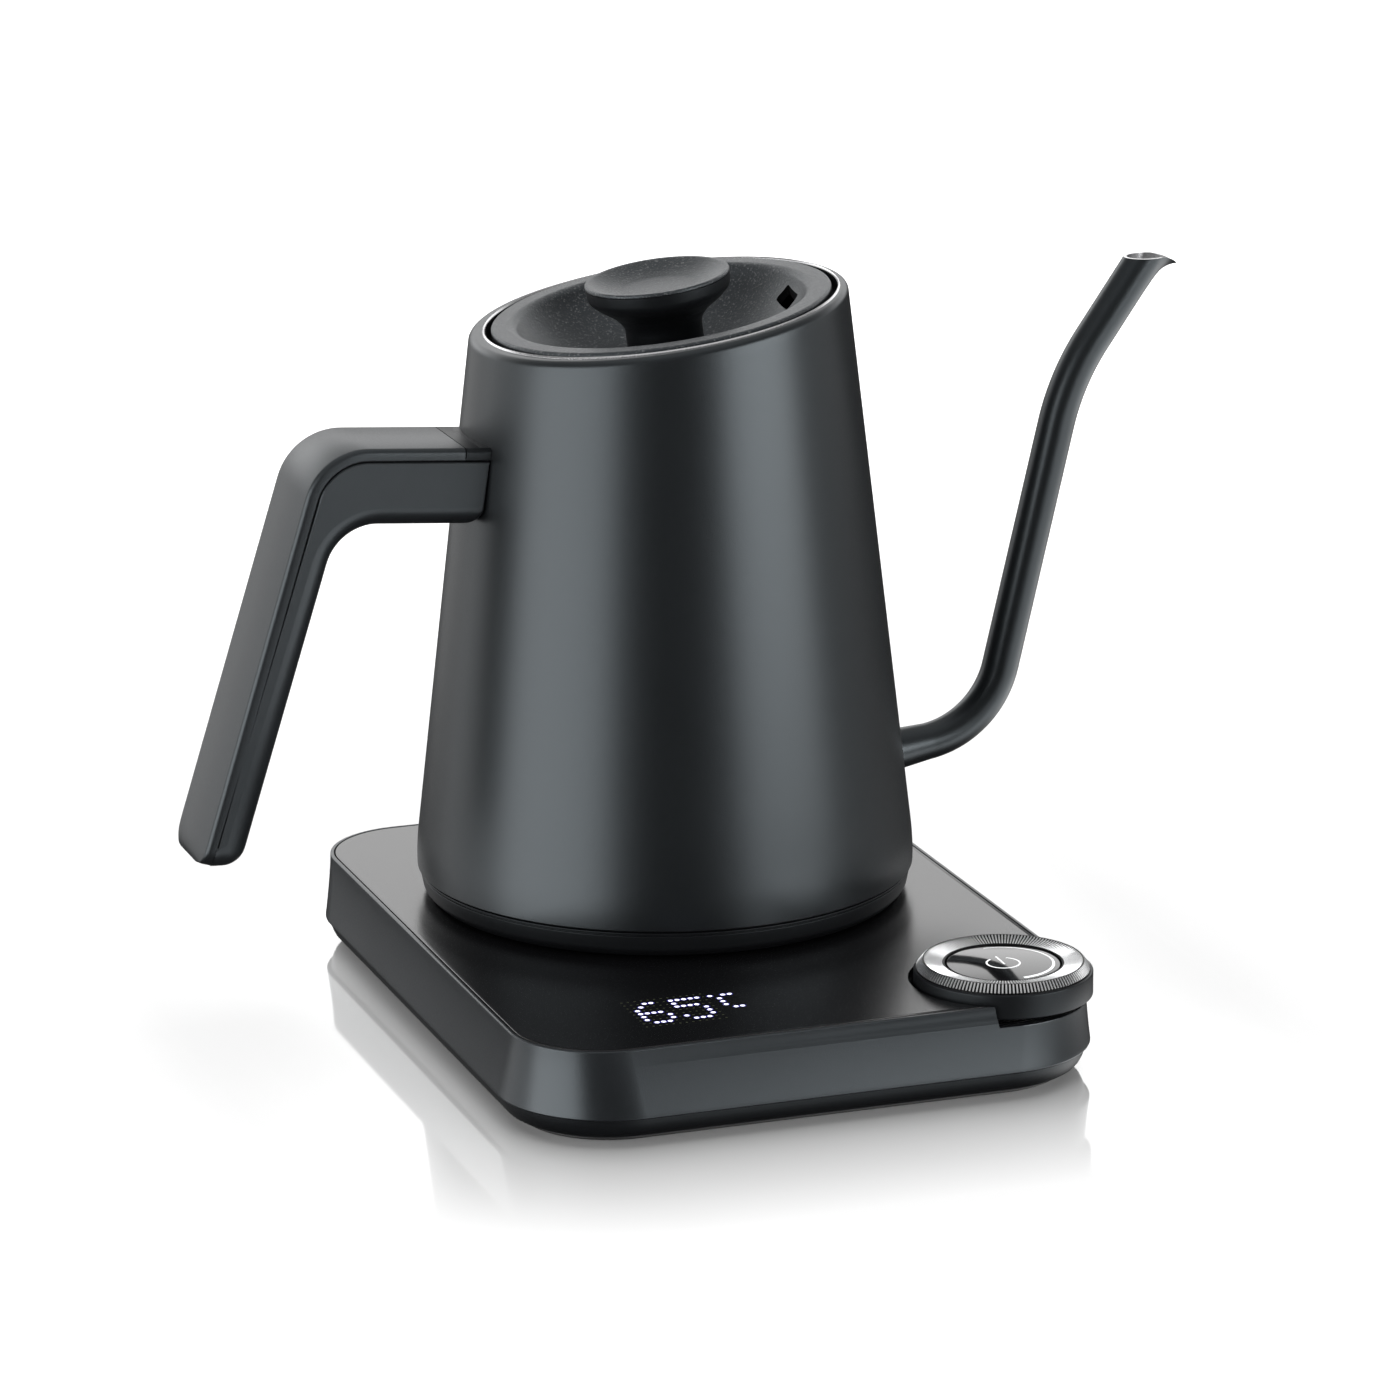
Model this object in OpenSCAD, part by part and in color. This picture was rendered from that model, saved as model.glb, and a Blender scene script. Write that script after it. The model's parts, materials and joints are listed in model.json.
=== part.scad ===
// Electric gooseneck kettle on a rectangular power base with a corner dial.
// Millimetres. +X points to the spout, +Y to the back of the base, +Z up.
// The origin is the centre of the base on the surface that it stands on.

/* [Power base] */
// Width of the base at the top edge of its band
base_w = 150; // [140:1:160]
// Depth of the base at the top edge of its band
base_d = 200; // [194:1:210]
// Plan radius of the base's corners
corner_r = 23.5; // [20:0.5:26]
// Height of the deck above the table
deck_z = 24.3; // [23.8:0.1:25]
// Height of the band's lower edge
band_bottom_z = 7; // [6:0.5:8]
// How far the band flares out at its lower edge, each side
band_flare = 2.4; // [1:0.1:3]

/* [Dial] */
// Centre of the dial across the base
dial_x = 53.7; // [52:0.1:55]
// Centre of the dial along the base
dial_y = -78.8; // [-80:0.1:-77]
// Outer radius of the dial's black skirt
skirt_r = 22.5; // [22:0.1:23]
// Radius of the glass button in the middle
button_r = 14.3; // [13:0.1:14.4]
// How far the button goes down
button_travel = 0.8; // [0.4:0.1:0.8]

/* [Kettle body] */
// Kettle axis behind the centre of the base
kettle_y = 23.5; // [20:0.5:26]
// Radius of the cone at its lower edge
cone_r = 65.5; // [64:0.1:66]
// Inward lean of the wall, mm of radius per mm of height
cone_lean = 0.116; // [0.11:0.001:0.12]
// Thickness of the steel wall
wall_t = 0.8; // [0.6:0.1:1.2]
// Height of the seam between the steel body and the foot ring
seam_z = 31.9; // [31.9:0.1:32.4]
// Height of the slanted rim where it crosses the kettle axis
rim_z = 178.9; // [170:0.5:185]
// Slant of the rim, rising towards the spout
rim_tilt = 7.75; // [6:0.25:9]
// Radius of the round mouth inside the rim
mouth_r = 45.4; // [45:0.1:45.6]

/* [Lid] */
// Radius of the lid
lid_r = 43.9; // [43.5:0.1:44]
// Depth of the dish around the knob
dish_depth = 15; // [12:0.5:15]
// Radius of the knob's cap
knob_r = 18.7; // [17:0.1:20]
// Height of the cap's rim above the lid
knob_h = 7.7; // [7:0.1:10]

/* [Spout] */
// Outer diameter of the spout tube
spout_d = 9.7; // [9:0.1:10]
// Wall of the spout tube
spout_t = 0.7; // [0.6:0.1:1]
// Height of the level-cut mouth of the spout
spout_top_z = 182.5; // [178:0.5:184]

/* [Handle] */
// Width of the handle
handle_w = 28; // [24:1:30]
// Thickness of the cover strip
cover_t = 3.1; // [2.6:0.1:3.4]
// Gap of the line between the cover strip and the grip
groove = 0.3; // [0.2:0.1:0.4]

/* [Hidden] */
$fn = 96;
eps = 0.01;
far = 400;

// ---- power base sizes ----
band_t = 2.2;              // wall of the band
band_lip = 1;              // its top edge is thinner, and the deck plate sits on the ledge
deck_gap = 0.4;            // black line between the band and the deck plate
deck_t = 2.5;
tray_floor_z = 1.2;        // underside of the tray, above the rubber feet
tray_floor_t = 2;
tray_inset = 1.2;          // step back from the band to the tray
tray_foot_inset = 4.4;     // further step in at the tray's lowest edge
post_x = 62;               // screw posts under the deck plate
post_y = 52;
post_r = 3.6;
screw_r = 1.45;
strip_w = 5;               // width of the rubber strip that the base stands on
gland_x = 45;              // cable gland in the back wall
gland_z = 13;
gland_bore_r = 3.4;
gland_r = 5.4;
gland_flange_r = 7;

// ---- dial sizes ----
pocket_r = skirt_r + 1.3;  // round pocket that the dial sits in
pocket_floor_z = deck_z - 5.5;
pocket_floor_t = 1.6;
skirt_bottom_z = pocket_floor_z + 1.7;
skirt_top_z = deck_z + 2.6;
ring_crest_z = skirt_top_z + 2.2;
ring_crest_r = skirt_r - 2.3;
bearing_r = 12;
bearing_bore_r = 9;
bearing_top_z = deck_z - 0.1;
running_gap = 0.05;
button_top_z = skirt_top_z + 1.1;
glass_t = 1.5;
carrier_t = 1.2;

// ---- connector between base and kettle ----
plug_r = 17;               // male tower on the base
plug_top_z = deck_z + 12;
slot_radii = [6, 11];      // centre radii of the two round contact slots
slot_half_w = 1.5;
slot_depth = 8;
earth_r = 1.5;
earth_bore_r = 2.2;
socket_gap = 0.7;
socket_roof_t = 3;
socket_wall = 3;
contact_t = 0.6;

// ---- kettle sizes ----
floor_z = 43;              // underside of the kettle's steel floor
floor_t = 1;
spreader_t = 1.5;
element_r = 36;            // ring radius of the heating element
element_tube_r = 3.2;
foot_z = deck_z + 0.4;     // underside of the kettle
cover_z = foot_z + 2.3;    // underside of the kettle's bottom cover
bottom_screw_r = 48;       // pitch radius of the bottom screws
sensor_place = [24, 12, 0];    // temperature sensor, from the kettle's axis
cutout_place = [-21, -17, 0];  // dry-boil cut-out, from the kettle's axis
rim_t = 1.2;               // thickness of the turned-in rim
collar_drop = 7;           // how far the collar reaches down inside the mouth
collar_t = 0.8;
spout_low = [66.8, 55.2];       // [x, z] of the spout's centreline at the body
spout_knee = [90.4, 58.5];      // where the low run and the long run would meet
spout_neck = [112.5, 151.3];    // where the long run and the top run would meet
spout_tip = [133.9, 181.6];     // a point on the top run, near the mouth
spout_knee_r = 25;
spout_neck_r = 64;
beak_reach = 2.8;               // how far the pouring beak is drawn out
beak_drop = 1.3;                // and how far its tip droops

// ---- handle sizes: [x, z] points in the kettle's middle plane ----
arm_end = [-57, 149.5];         // where the cover strip stops, near the body
arm_corner = [-95, 152.4];      // outer corner of the L
leg_end = [-128.5, 46.9];       // lower end of the outer face
crook = [-89.7, 131.9];         // inner corner of the L
arm_root = [-45, 128.3];        // underside of the arm, taken inside the body
leg_inner = [-117.4, 45.4];     // lower end of the inner face
outer_bend_r = 16.5;
inner_bend_r = 13;
toe_r = 5;
tongue_x = -62;                 // the bracket's tongue runs this way from its block at the wall
tongue = [20, 16, 5];           // length, width and height of the tongue
tongue_top_z = 143;
block_x = -56.6;                // the block joins the tongue, the cap strip and the wall
block = [8, 16, 8];
slot_gap = 0.15;                // the grip's pocket is this much larger all round
handle_screw_x = [-76, -66];

// ---- lid sizes, measured from the lid's own top plane ----
lid_proud = 0.75;          // lid above the rim
dish_edge_r = 38;          // where the margin's plane and the dish's steep side meet
dish_edge_round = 3;
dish_side_r = 36.2;        // the dish's own curve begins here
dish_floor_r = 14;
dish_t = 1.8;
stem_r = 9.9;
cup_r = 41.8;
cup_floor_h = -22;
cup_floor_t = 1.5;
seal_h = [-13, -9.5];
vent_w = 9.5;              // steam vent in the dish's side, towards the spout
vent_x = [31.3, 36.5];
vent_turn = -3.3;
lid_bolt_r = 2;

// ---- helpers ----
function unit(v) = v / norm(v);
function left_of(v) = [-v[1], v[0]];

// Points of the arc that rounds the corner b of the path a, b, c
function fillet(a, b, c, r, n = 10) =
    let (u = unit(a - b), v = unit(c - b))
    let (half = acos(u * v) / 2, reach = r / tan(half))
    let (centre = b + unit(u + v) * r / sin(half))
    let (p = b + u * reach - centre, q = b + v * reach - centre)
    let (start = atan2(p[1], p[0]), turn = atan2(p[0] * q[1] - p[1] * q[0], p * q))
    [for (i = [0:n]) centre + r * [cos(start + turn * i / n), sin(start + turn * i / n)]];

module at_kettle() { translate([0, kettle_y, 0]) children(); }
module at_dial() { translate([dial_x, dial_y, 0]) children(); }
module at_lid(extra = 0) {
    at_kettle() translate([0, 0, rim_z]) rotate([0, -rim_tilt, 0]) translate([0, 0, extra]) children();
}
module in_lid() { at_lid(lid_proud) children(); }

// Upright tube or disc between two heights
module ring(r_out, r_in, z0, z1) {
    translate([0, 0, z0]) difference() {
        cylinder(r = r_out, h = z1 - z0);
        if (r_in > 0) translate([0, 0, -1]) cylinder(r = r_in, h = z1 - z0 + 2);
    }
}

// Rounded slab whose sides flare from (w, d, r) at z1 to flare more, all round, at z0
module flared_slab(w, d, r, flare, z0, z1) {
    profile_w = [[-w / 2 - flare, z0], [w / 2 + flare, z0], [w / 2, z1], [-w / 2, z1]];
    profile_d = [[-d / 2 - flare, z0], [d / 2 + flare, z0], [d / 2, z1], [-d / 2, z1]];
    translate([0, d / 2 - r, 0]) rotate([90, 0, 0]) linear_extrude(d - 2 * r) polygon(profile_w);
    translate([-w / 2 + r, 0, 0]) rotate([90, 0, 90]) linear_extrude(w - 2 * r) polygon(profile_d);
    for (sx = [-1, 1], sy = [-1, 1])
        translate([sx * (w / 2 - r), sy * (d / 2 - r), z0])
            cylinder(r1 = r + flare, r2 = r, h = z1 - z0);
}

module plain_slab(inset, z0, z1) {
    flared_slab(base_w - 2 * inset, base_d - 2 * inset, corner_r - inset, 0, z0, z1);
}

// A cap-head screw with its axis up: head from z0 down, shank upwards
module screw_up(head_r, head_h, shank_r, shank_h) {
    translate([0, 0, -head_h]) difference() {
        cylinder(r = head_r, h = head_h);
        translate([0, 0, -1]) cylinder(r = head_r * 0.45, h = 1 + head_h * 0.5, $fn = 6);
    }
    cylinder(r = shank_r, h = shank_h);
}

module post_places() { for (sx = [-1, 1], sy = [-1, 1]) translate([sx * post_x, sy * post_y, 0]) children(); }

// ---- power base ----
module dial_pocket_space() { at_dial() ring(pocket_r, 0, pocket_floor_z, far); }

module deck_plate() {
    inset = band_lip + deck_gap;
    wall = 1.4;
    color("#15171a") difference() {
        union() {
            difference() {
                plain_slab(inset, deck_z - deck_t, deck_z);
                at_kettle() ring(plug_r + 0.2, 0, 0, far);
            }
            intersection() {
                at_dial() ring(pocket_r + wall, 0, pocket_floor_z - pocket_floor_t, deck_z);
                plain_slab(band_t + deck_gap, 0, far);
            }
            post_places() ring(post_r, 0, tray_floor_z + tray_floor_t + 0.1, deck_z - deck_t + eps);
        }
        dial_pocket_space();
        at_dial() ring(bearing_r, 0, 0, far);
        post_places() ring(screw_r, 0, 0, deck_z - deck_t - 2);
    }
}

module base_band() {
    color("#34373a") difference() {
        flared_slab(base_w, base_d, corner_r, band_flare, band_bottom_z, deck_z);
        flared_slab(base_w - 2 * band_t, base_d - 2 * band_t, corner_r - band_t, band_flare,
            band_bottom_z - 1, deck_z - deck_t - 0.1);
        plain_slab(band_t, deck_z - deck_t - 1, far);
        plain_slab(band_lip, deck_z - deck_t - 0.1, far);
        dial_pocket_space();
        at_dial() ring(pocket_r + 1.5, 0, pocket_floor_z - pocket_floor_t - 0.1, pocket_floor_z + eps);
        translate([gland_x, 0, gland_z]) rotate([-90, 0, 0]) cylinder(r = gland_r + 0.05, h = base_d);
    }
}

module bottom_tray() {
    top_w = base_w + 2 * band_flare - 2 * tray_inset;
    top_d = base_d + 2 * band_flare - 2 * tray_inset;
    top_r = corner_r + band_flare - tray_inset;
    knee_z = 3.6;
    knee_in = 1.2;
    wall = 2;
    module body(inset, z0) {
        w = top_w - 2 * inset;
        d = top_d - 2 * inset;
        r = top_r - inset;
        flared_slab(w, d, r, -knee_in, knee_z, band_bottom_z);
        flared_slab(w - 2 * knee_in, d - 2 * knee_in, r - knee_in, -tray_foot_inset + knee_in, z0, knee_z + eps);
    }
    color("#1b1d1f") difference() {
        body(0, tray_floor_z);
        difference() {
            body(wall, tray_floor_z - 1);
            translate([0, 0, -far + tray_floor_z + tray_floor_t]) cube([far, far, 2 * far], center = true);
        }
        post_places() ring(1.6, 0, 0, far);
        post_places() ring(3.2, 0, 0, tray_floor_z + 1);
    }
}

// Rubber strip that runs round under the tray's edge
module foot_strip() {
    outer_inset = tray_foot_inset + tray_inset - band_flare + 1;
    color("#101112") difference() {
        plain_slab(outer_inset, 0, tray_floor_z);
        plain_slab(outer_inset + strip_w, -1, tray_floor_z + 1);
    }
}

module base_screws() {
    color("#9a9da1") post_places() translate([0, 0, tray_floor_z + 1]) screw_up(3, 0.8, 1.4, 11);
}

module cable_gland() {
    back_y = base_d / 2 + band_flare;
    color("#131415") translate([gland_x, back_y, gland_z]) rotate([-90, 0, 0]) difference() {
        union() {
            translate([0, 0, -7]) cylinder(r = gland_r, h = 10);
            translate([0, 0, -7]) cylinder(r = gland_flange_r, h = 2);
            translate([0, 0, 0.3]) cylinder(r = gland_flange_r, h = 1.7);
        }
        translate([0, 0, -8]) cylinder(r = gland_bore_r, h = 20);
    }
}

module base_connector() {
    flange_r = 22;
    color("#1a1b1d") at_kettle() difference() {
        union() {
            ring(plug_r, 0, deck_z - deck_t, plug_top_z);
            ring(flange_r, 0, deck_z - deck_t - 3, deck_z - deck_t);
        }
        ring(earth_bore_r, 0, plug_top_z - slot_depth - 1, far);
        for (r = slot_radii) ring(r + slot_half_w, r - slot_half_w, plug_top_z - slot_depth, far);
    }
}

module base_contacts() {
    color("#c8a85a") at_kettle() for (r = slot_radii)
        ring(r + slot_half_w, r + slot_half_w - 0.4, plug_top_z - slot_depth, plug_top_z - 3);
}

module power_board() {
    color("#1e4d33") translate([-60, 10, 7]) cube([62, 38, 1.6]);
    color("#1e4d33") for (x = [-56, -2], y = [14, 44])
        translate([x, y, tray_floor_z + tray_floor_t]) cylinder(r = 2, h = 7 - tray_floor_z - tray_floor_t);
}

module power_relay() {
    color("#2b4c8c") translate([-52, 18, 8.6]) cube([19, 15.5, 9]);
    color("#2b4c8c") translate([-26, 16, 8.6]) cube([20, 24, 8]);
}

display_x = -27.8;         // middle of the shown figures
display_y = -74.7;

module display_board() {
    color("#1e4d33") translate([display_x - 27, display_y - 13, deck_z - deck_t - 4.1]) cube([54, 26, 1.6]);
}

module display_matrix() {
    color("#e8e8ee") translate([display_x - 23, display_y - 9, deck_z - deck_t - 2.5]) cube([46, 18, 2.4]);
}

encoder_board_z = 8.4;

module encoder_board() {
    color("#1e4d33") at_dial() ring(15, 0, encoder_board_z, encoder_board_z + 1.6);
    color("#1e4d33") at_dial() for (a = [45:90:315])
        rotate(a) translate([13.3, 0, 0]) ring(1.2, 0, encoder_board_z + 1.6, pocket_floor_z - pocket_floor_t - 1.5);
}

module button_switch() {
    switch_w = 6;
    switch_top = pocket_floor_z - 2.6;
    color("#2a2a2c") at_dial() {
        translate([-switch_w / 2, -switch_w / 2, encoder_board_z + 1.6])
            cube([switch_w, switch_w, switch_top - encoder_board_z - 3.1]);
        ring(1.7, 0, switch_top - 1.6, switch_top);
    }
}

module dial_bearing() {
    flange_t = 1.5;
    floor_underside = pocket_floor_z - pocket_floor_t;
    color("#d8d8d4") at_dial() {
        ring(bearing_r, bearing_bore_r, floor_underside - flange_t, bearing_top_z);
        ring(bearing_r + 3.5, bearing_bore_r, floor_underside - flange_t, floor_underside);
    }
}

// ---- dial ----
module dial_ring() {
    inner = button_r + 0.4;
    seat = skirt_r - 2.1;
    color("#c4c7ca") at_dial() rotate_extrude() polygon([
        [inner, deck_z + 0.2], [seat, deck_z + 0.2], [seat, skirt_top_z],
        [skirt_r - 0.6, skirt_top_z], [skirt_r - 0.6, skirt_top_z + 0.3],
        [ring_crest_r, ring_crest_z], [ring_crest_r - 0.5, ring_crest_z],
        [inner, button_top_z + 0.2],
    ]);
}

module dial_skirt() {
    wall = 2;
    web_t = 1.5;
    color("#1c1e20") at_dial() rotate_extrude() polygon([
        [bearing_r + running_gap, skirt_bottom_z - 0.5], [bearing_r + 2, skirt_bottom_z - 0.5],
        [bearing_r + 2, deck_z + 0.2 - web_t], [skirt_r - wall, deck_z + 0.2 - web_t],
        [skirt_r - wall, skirt_bottom_z], [skirt_r, skirt_bottom_z], [skirt_r, skirt_top_z - 0.1],
        [skirt_r - wall, skirt_top_z - 0.1], [skirt_r - wall, deck_z + 0.2],
        [bearing_r + running_gap, deck_z + 0.2],
    ]);
}

module magnet_ring() {
    color("#3a3c40") at_dial() ring(19, 15.5, deck_z - 2.5, deck_z - 1.3);
}

module power_button() {
    color("#060708") at_dial() ring(button_r, 0, button_top_z - glass_t, button_top_z);
}

module button_carrier() {
    plate_z = button_top_z - glass_t - carrier_t;
    color("#2b2d30") at_dial() {
        ring(button_r - 0.5, 0, plate_z, plate_z + carrier_t);
        ring(bearing_bore_r - running_gap, 0, pocket_floor_z - 1.4, plate_z + eps);
    }
}

// ---- connector on the kettle ----
module kettle_socket() {
    roof_z = plug_top_z + socket_gap;
    bore = plug_r + socket_gap;
    color("#1a1b1d") at_kettle() {
        ring(bore + socket_wall, bore, foot_z + 1, roof_z);
        ring(bore + socket_wall, 0, roof_z, roof_z + socket_roof_t);
    }
}

module socket_contacts() {
    roof_z = plug_top_z + socket_gap;
    reach = slot_depth - 1.5;
    color("#c8a85a") at_kettle() {
        for (r = slot_radii) ring(r + contact_t / 2, r - contact_t / 2, roof_z - reach, roof_z);
        ring(earth_r, 0, roof_z - reach, roof_z);
    }
}

// ---- kettle ----
// Outer radius of the kettle: a straight cone that turns in a little above the seam
function outer_r(z) = cone_r - cone_lean * (z - seam_z)
    - (z < seam_z + 10 ? 0.0075 * pow(seam_z + 10 - z, 2) : 0);
hem_heights = [0, 2, 4, 6, 8, 10];
cone_top_z = rim_z + 20;

module body_solid(inset, from_z) {
    low = [for (h = hem_heights) if (seam_z + h > from_z) [outer_r(seam_z + h) - inset, seam_z + h]];
    at_kettle() rotate_extrude() polygon(concat(
        [[0, from_z], [outer_r(from_z) - inset, from_z]], low,
        [[outer_r(cone_top_z) - inset, cone_top_z], [0, cone_top_z]]));
}

module above_rim(drop) { at_lid(-drop) translate([-far / 2, -far / 2, 0]) cube([far, far, far]); }

// Straight length of round tube (or rod, when bore is 0) from p to q
module spout_run(p, q, r, bore = 0) {
    d = unit(q - p);
    translate([p[0], 0, p[1]]) rotate([0, atan2(d[0], d[1]), 0]) difference() {
        cylinder(r = r, h = norm(q - p));
        if (bore > 0) translate([0, 0, -1]) cylinder(r = bore, h = norm(q - p) + 2);
    }
}

// Centreline of the spout: low run, knee, long run, neck and the last few rings under the mouth
spout_lean = unit(spout_tip - spout_neck);
spout_root = spout_low - 8 * unit(spout_knee - spout_low);
spout_line = concat([spout_root],
    fillet(spout_low, spout_knee, spout_neck, spout_knee_r, 8),
    fillet(spout_knee, spout_neck, spout_tip, spout_neck_r, 6),
    [for (back = [8, 5, 3, 1.5, 0]) spout_tip - back * spout_lean]);
spout_last = len(spout_line) - 1;
spout_sides = 28;
beak_share = [for (i = [0:spout_last]) i < spout_last - 3 ? 0 : pow((i - spout_last + 4) / 4, 3)];

function spout_heading(i) = unit(spout_line[min(i + 1, spout_last)] - spout_line[max(i - 1, 0)]);

// Distance along the heading h from the point p to the kettle's wall
function to_wall(p, h, z) = (sqrt(pow(outer_r(z), 2) - p[1] * p[1]) + wall_clear - p[0]) / h[0];
wall_clear = 0.02;

// Distance along the heading that brings the end rings to the wall and to the level mouth
function end_slide(i, p, h) =
    i == 0 ? to_wall(p, h, p[2] + h[1] * to_wall(p, h, p[2]))
    : i == spout_last ? (spout_top_z - p[2]) / h[1]
    : 0;

// One ring of points; a = 0 faces forwards, where the pouring beak is drawn out
function spout_ring(i, r) = [for (k = [0:spout_sides - 1])
    let (a = 360 * k / spout_sides, h = spout_heading(i), c = spout_line[i])
    let (p = [c[0] + r * cos(a) * h[1], r * sin(a), c[1] - r * cos(a) * h[0]])
    let (t = end_slide(i, p, h), pull = beak_share[i] * pow(max(0, cos(a)), 5))
    [p[0] + t * h[0] + pull * beak_reach, p[1], p[2] + t * h[1] - pull * beak_drop]];

module spout_tube() {
    rings = spout_last + 1;
    outer = [for (i = [0:spout_last]) each spout_ring(i, spout_d / 2)];
    inner = [for (i = [0:spout_last]) each spout_ring(i, spout_d / 2 - spout_t)];
    n = spout_sides;
    shift = rings * n;
    function quad(p, q, r, s) = [[p, q, r], [p, r, s]];
    walls = [for (i = [0:spout_last - 1], k = [0:n - 1])
        let (a = i * n + k, b = i * n + (k + 1) % n)
        each concat(quad(a, a + n, b + n, b), quad(shift + b, shift + b + n, shift + a + n, shift + a))];
    ends = [for (k = [0:n - 1])
        let (a = k, b = (k + 1) % n, top = spout_last * n)
        each concat(quad(b, shift + b, shift + a, a), quad(top + a, top + shift + a, top + shift + b, top + b))];
    color("#26282b") at_kettle() polyhedron(points = concat(outer, inner), faces = concat(walls, ends), convexity = 4);
}

module kettle_body() {
    color("#2c2f32") difference() {
        body_solid(0, seam_z);
        difference() {
            body_solid(wall_t, seam_z - 1);
            above_rim(rim_t);
        }
        at_lid(-40) cylinder(r = mouth_r, h = 80);
        above_rim(0);
        at_kettle() spout_run(spout_low - unit(spout_knee - spout_low) * 12, spout_knee, spout_d / 2 - spout_t);
    }
    color("#2c2f32") at_lid() ring(mouth_r + collar_t, mouth_r, -collar_drop, -rim_t + eps);
}

module bottom_screw_places() {
    at_kettle() for (a = [30:120:270]) rotate(a) translate([bottom_screw_r, 0, 0]) children();
}

module kettle_floor() {
    r = outer_r(floor_z + floor_t) - wall_t - 0.05;
    color("#b9bcc0") difference() {
        at_kettle() ring(r, 0, floor_z, floor_z + floor_t);
        at_kettle() translate(sensor_place) ring(2.5, 0, 0, far);
    }
}

module floor_posts() {
    color("#a7aaae") bottom_screw_places() difference() {
        ring(3, 0, cover_z + 2, floor_z);
        ring(screw_r, 0, 0, floor_z - 2);
    }
}

module heat_spreader() {
    color("#c9ccd0") at_kettle() difference() {
        ring(43.5, 0, floor_z - spreader_t, floor_z);
        translate(sensor_place) ring(4.2, 0, 0, far);
    }
}

module heating_element() {
    z = floor_z - spreader_t - element_tube_r;
    sweep = 300;
    terminal = [1.6, 8];   // radius and length of the cold ends
    color("#8f9296") at_kettle() translate([0, 0, z]) {
        rotate_extrude(angle = sweep) translate([element_r, 0]) circle(r = element_tube_r);
        translate([element_r, 0, 0]) rotate([90, 0, 0]) cylinder(r = terminal[0], h = terminal[1]);
        rotate(sweep) translate([element_r, 0, 0]) rotate([-90, 0, 0]) cylinder(r = terminal[0], h = terminal[1]);
    }
}

module temperature_sensor() {
    color("#a7aaae") at_kettle() translate(sensor_place) {
        ring(2.45, 0, floor_z - 5, floor_z + 5);
        ring(4, 0, floor_z - 1.2, floor_z);
    }
}

module dry_boil_cutout() {
    color("#d9d4c8") at_kettle() translate(cutout_place) ring(5.5, 0, floor_z - spreader_t - 1.4, floor_z - spreader_t);
}

module foot_ring() {
    top = seam_z - 0.4;
    r = outer_r(seam_z);
    color("#191a1c") at_kettle() rotate_extrude() polygon([
        [57.5, foot_z], [r - 3.4, foot_z], [r - 1.8, foot_z + 1.4], [r - 0.8, foot_z + 3.4], [r - 0.4, top],
        [r - 2, top], [r - 2, top + 4], [r - 3.4, top + 4], [r - 3.4, cover_z + 2], [57.5, cover_z + 2],
    ]);
}

module bottom_cover() {
    hole = plug_r + socket_gap + socket_wall + 0.3;
    color("#1b1c1e") difference() {
        at_kettle() ring(57.4, hole, cover_z, cover_z + 2);
        bottom_screw_places() ring(1.6, 0, 0, far);
    }
}

module bottom_screws() {
    color("#9a9da1") bottom_screw_places() translate([0, 0, cover_z]) screw_up(3, 1.3, 1.4, 9);
}

// ---- handle ----
module upright(points, w) {
    translate([0, kettle_y + w / 2, 0]) rotate([90, 0, 0]) linear_extrude(w) polygon(points);
}

// Outer path of the L moved inwards by t, with its bend concentric
function outer_path(t) =
    let (u = unit(arm_corner - arm_end), v = unit(leg_end - arm_corner))
    let (a = arm_end + left_of(u) * t, c = leg_end + left_of(v) * t)
    let (half = acos(-u * v) / 2)
    let (b = arm_corner + unit(-u + v) * t / sin(half))
    concat([a], fillet(a, b, c, outer_bend_r - t), [c]);

function reversed(list) = [for (i = [len(list) - 1:-1:0]) list[i]];

module handle_cover() {
    color("#303336") upright(concat(outer_path(0), reversed(outer_path(cover_t))), handle_w);
}

// The tongue, or the pocket that it slides into
module bracket_tongue(gap) {
    at_kettle() translate([tongue_x - tongue[0] - gap, -tongue[1] / 2 - gap, tongue_top_z - tongue[2] - gap])
        cube([tongue[0] + 18 + gap, tongue[1] + 2 * gap, tongue[2] + 2 * gap]);
}

module bracket_block(gap, h) {
    at_kettle() translate([block_x - gap, -block[1] / 2 - gap, tongue_top_z - block[2] / 2 - gap])
        cube([block[0] + 2 * gap, block[1] + 2 * gap, h + gap]);
}

// The strip that carries the cover's line on to the wall, with the tongue below it
module handle_bracket() {
    top = outer_path(0)[0];
    low = outer_path(cover_t)[0];
    slope = unit(arm_end - arm_corner);
    joint_line = 0.2 * slope;
    reach = 14 * slope;
    color("#26282a") difference() {
        union() {
            upright([top + joint_line, top + reach, low + reach, low + joint_line], handle_w);
            bracket_tongue(0);
            bracket_block(0, block[2]);
        }
        body_solid(0, seam_z);
        for (x = handle_screw_x) at_kettle() translate([x, 0, 0]) cylinder(r = screw_r, h = far);
    }
}

module handle_grip() {
    path = outer_path(cover_t + groove);
    end = path[len(path) - 1];
    arm_tip = path[0] + 16 * unit(arm_end - arm_corner);
    color("#222426") difference() {
        upright(concat([arm_tip], path, fillet(end, leg_inner, crook, toe_r),
            fillet(leg_inner, crook, arm_root, inner_bend_r), [arm_root]), handle_w);
        body_solid(-0.05, seam_z);
        bracket_tongue(slot_gap);
        bracket_block(slot_gap, 3 * block[2]);
        for (x = handle_screw_x) at_kettle() translate([x, 0, tongue_top_z]) {
            cylinder(r = 1.6, h = far);
            translate([0, 0, 1.6]) cylinder(r = 3.1, h = far);
        }
    }
}

module handle_screws() {
    color("#9a9da1") at_kettle() for (x = handle_screw_x)
        translate([x, 0, tongue_top_z + 1.6]) rotate([180, 0, 0]) screw_up(3, 1.3, 1.4, 6);
}

// ---- lid ----
// Height of the dish at radius r: steep near its edge, level at the floor
function dish_h(r) = -dish_depth * pow(1 - pow((r - dish_floor_r) / (dish_edge_r - dish_floor_r), 2), 0.833);
dish_radii = [for (i = [0:9]) dish_side_r - (dish_side_r - dish_floor_r) * i / 9];

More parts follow.
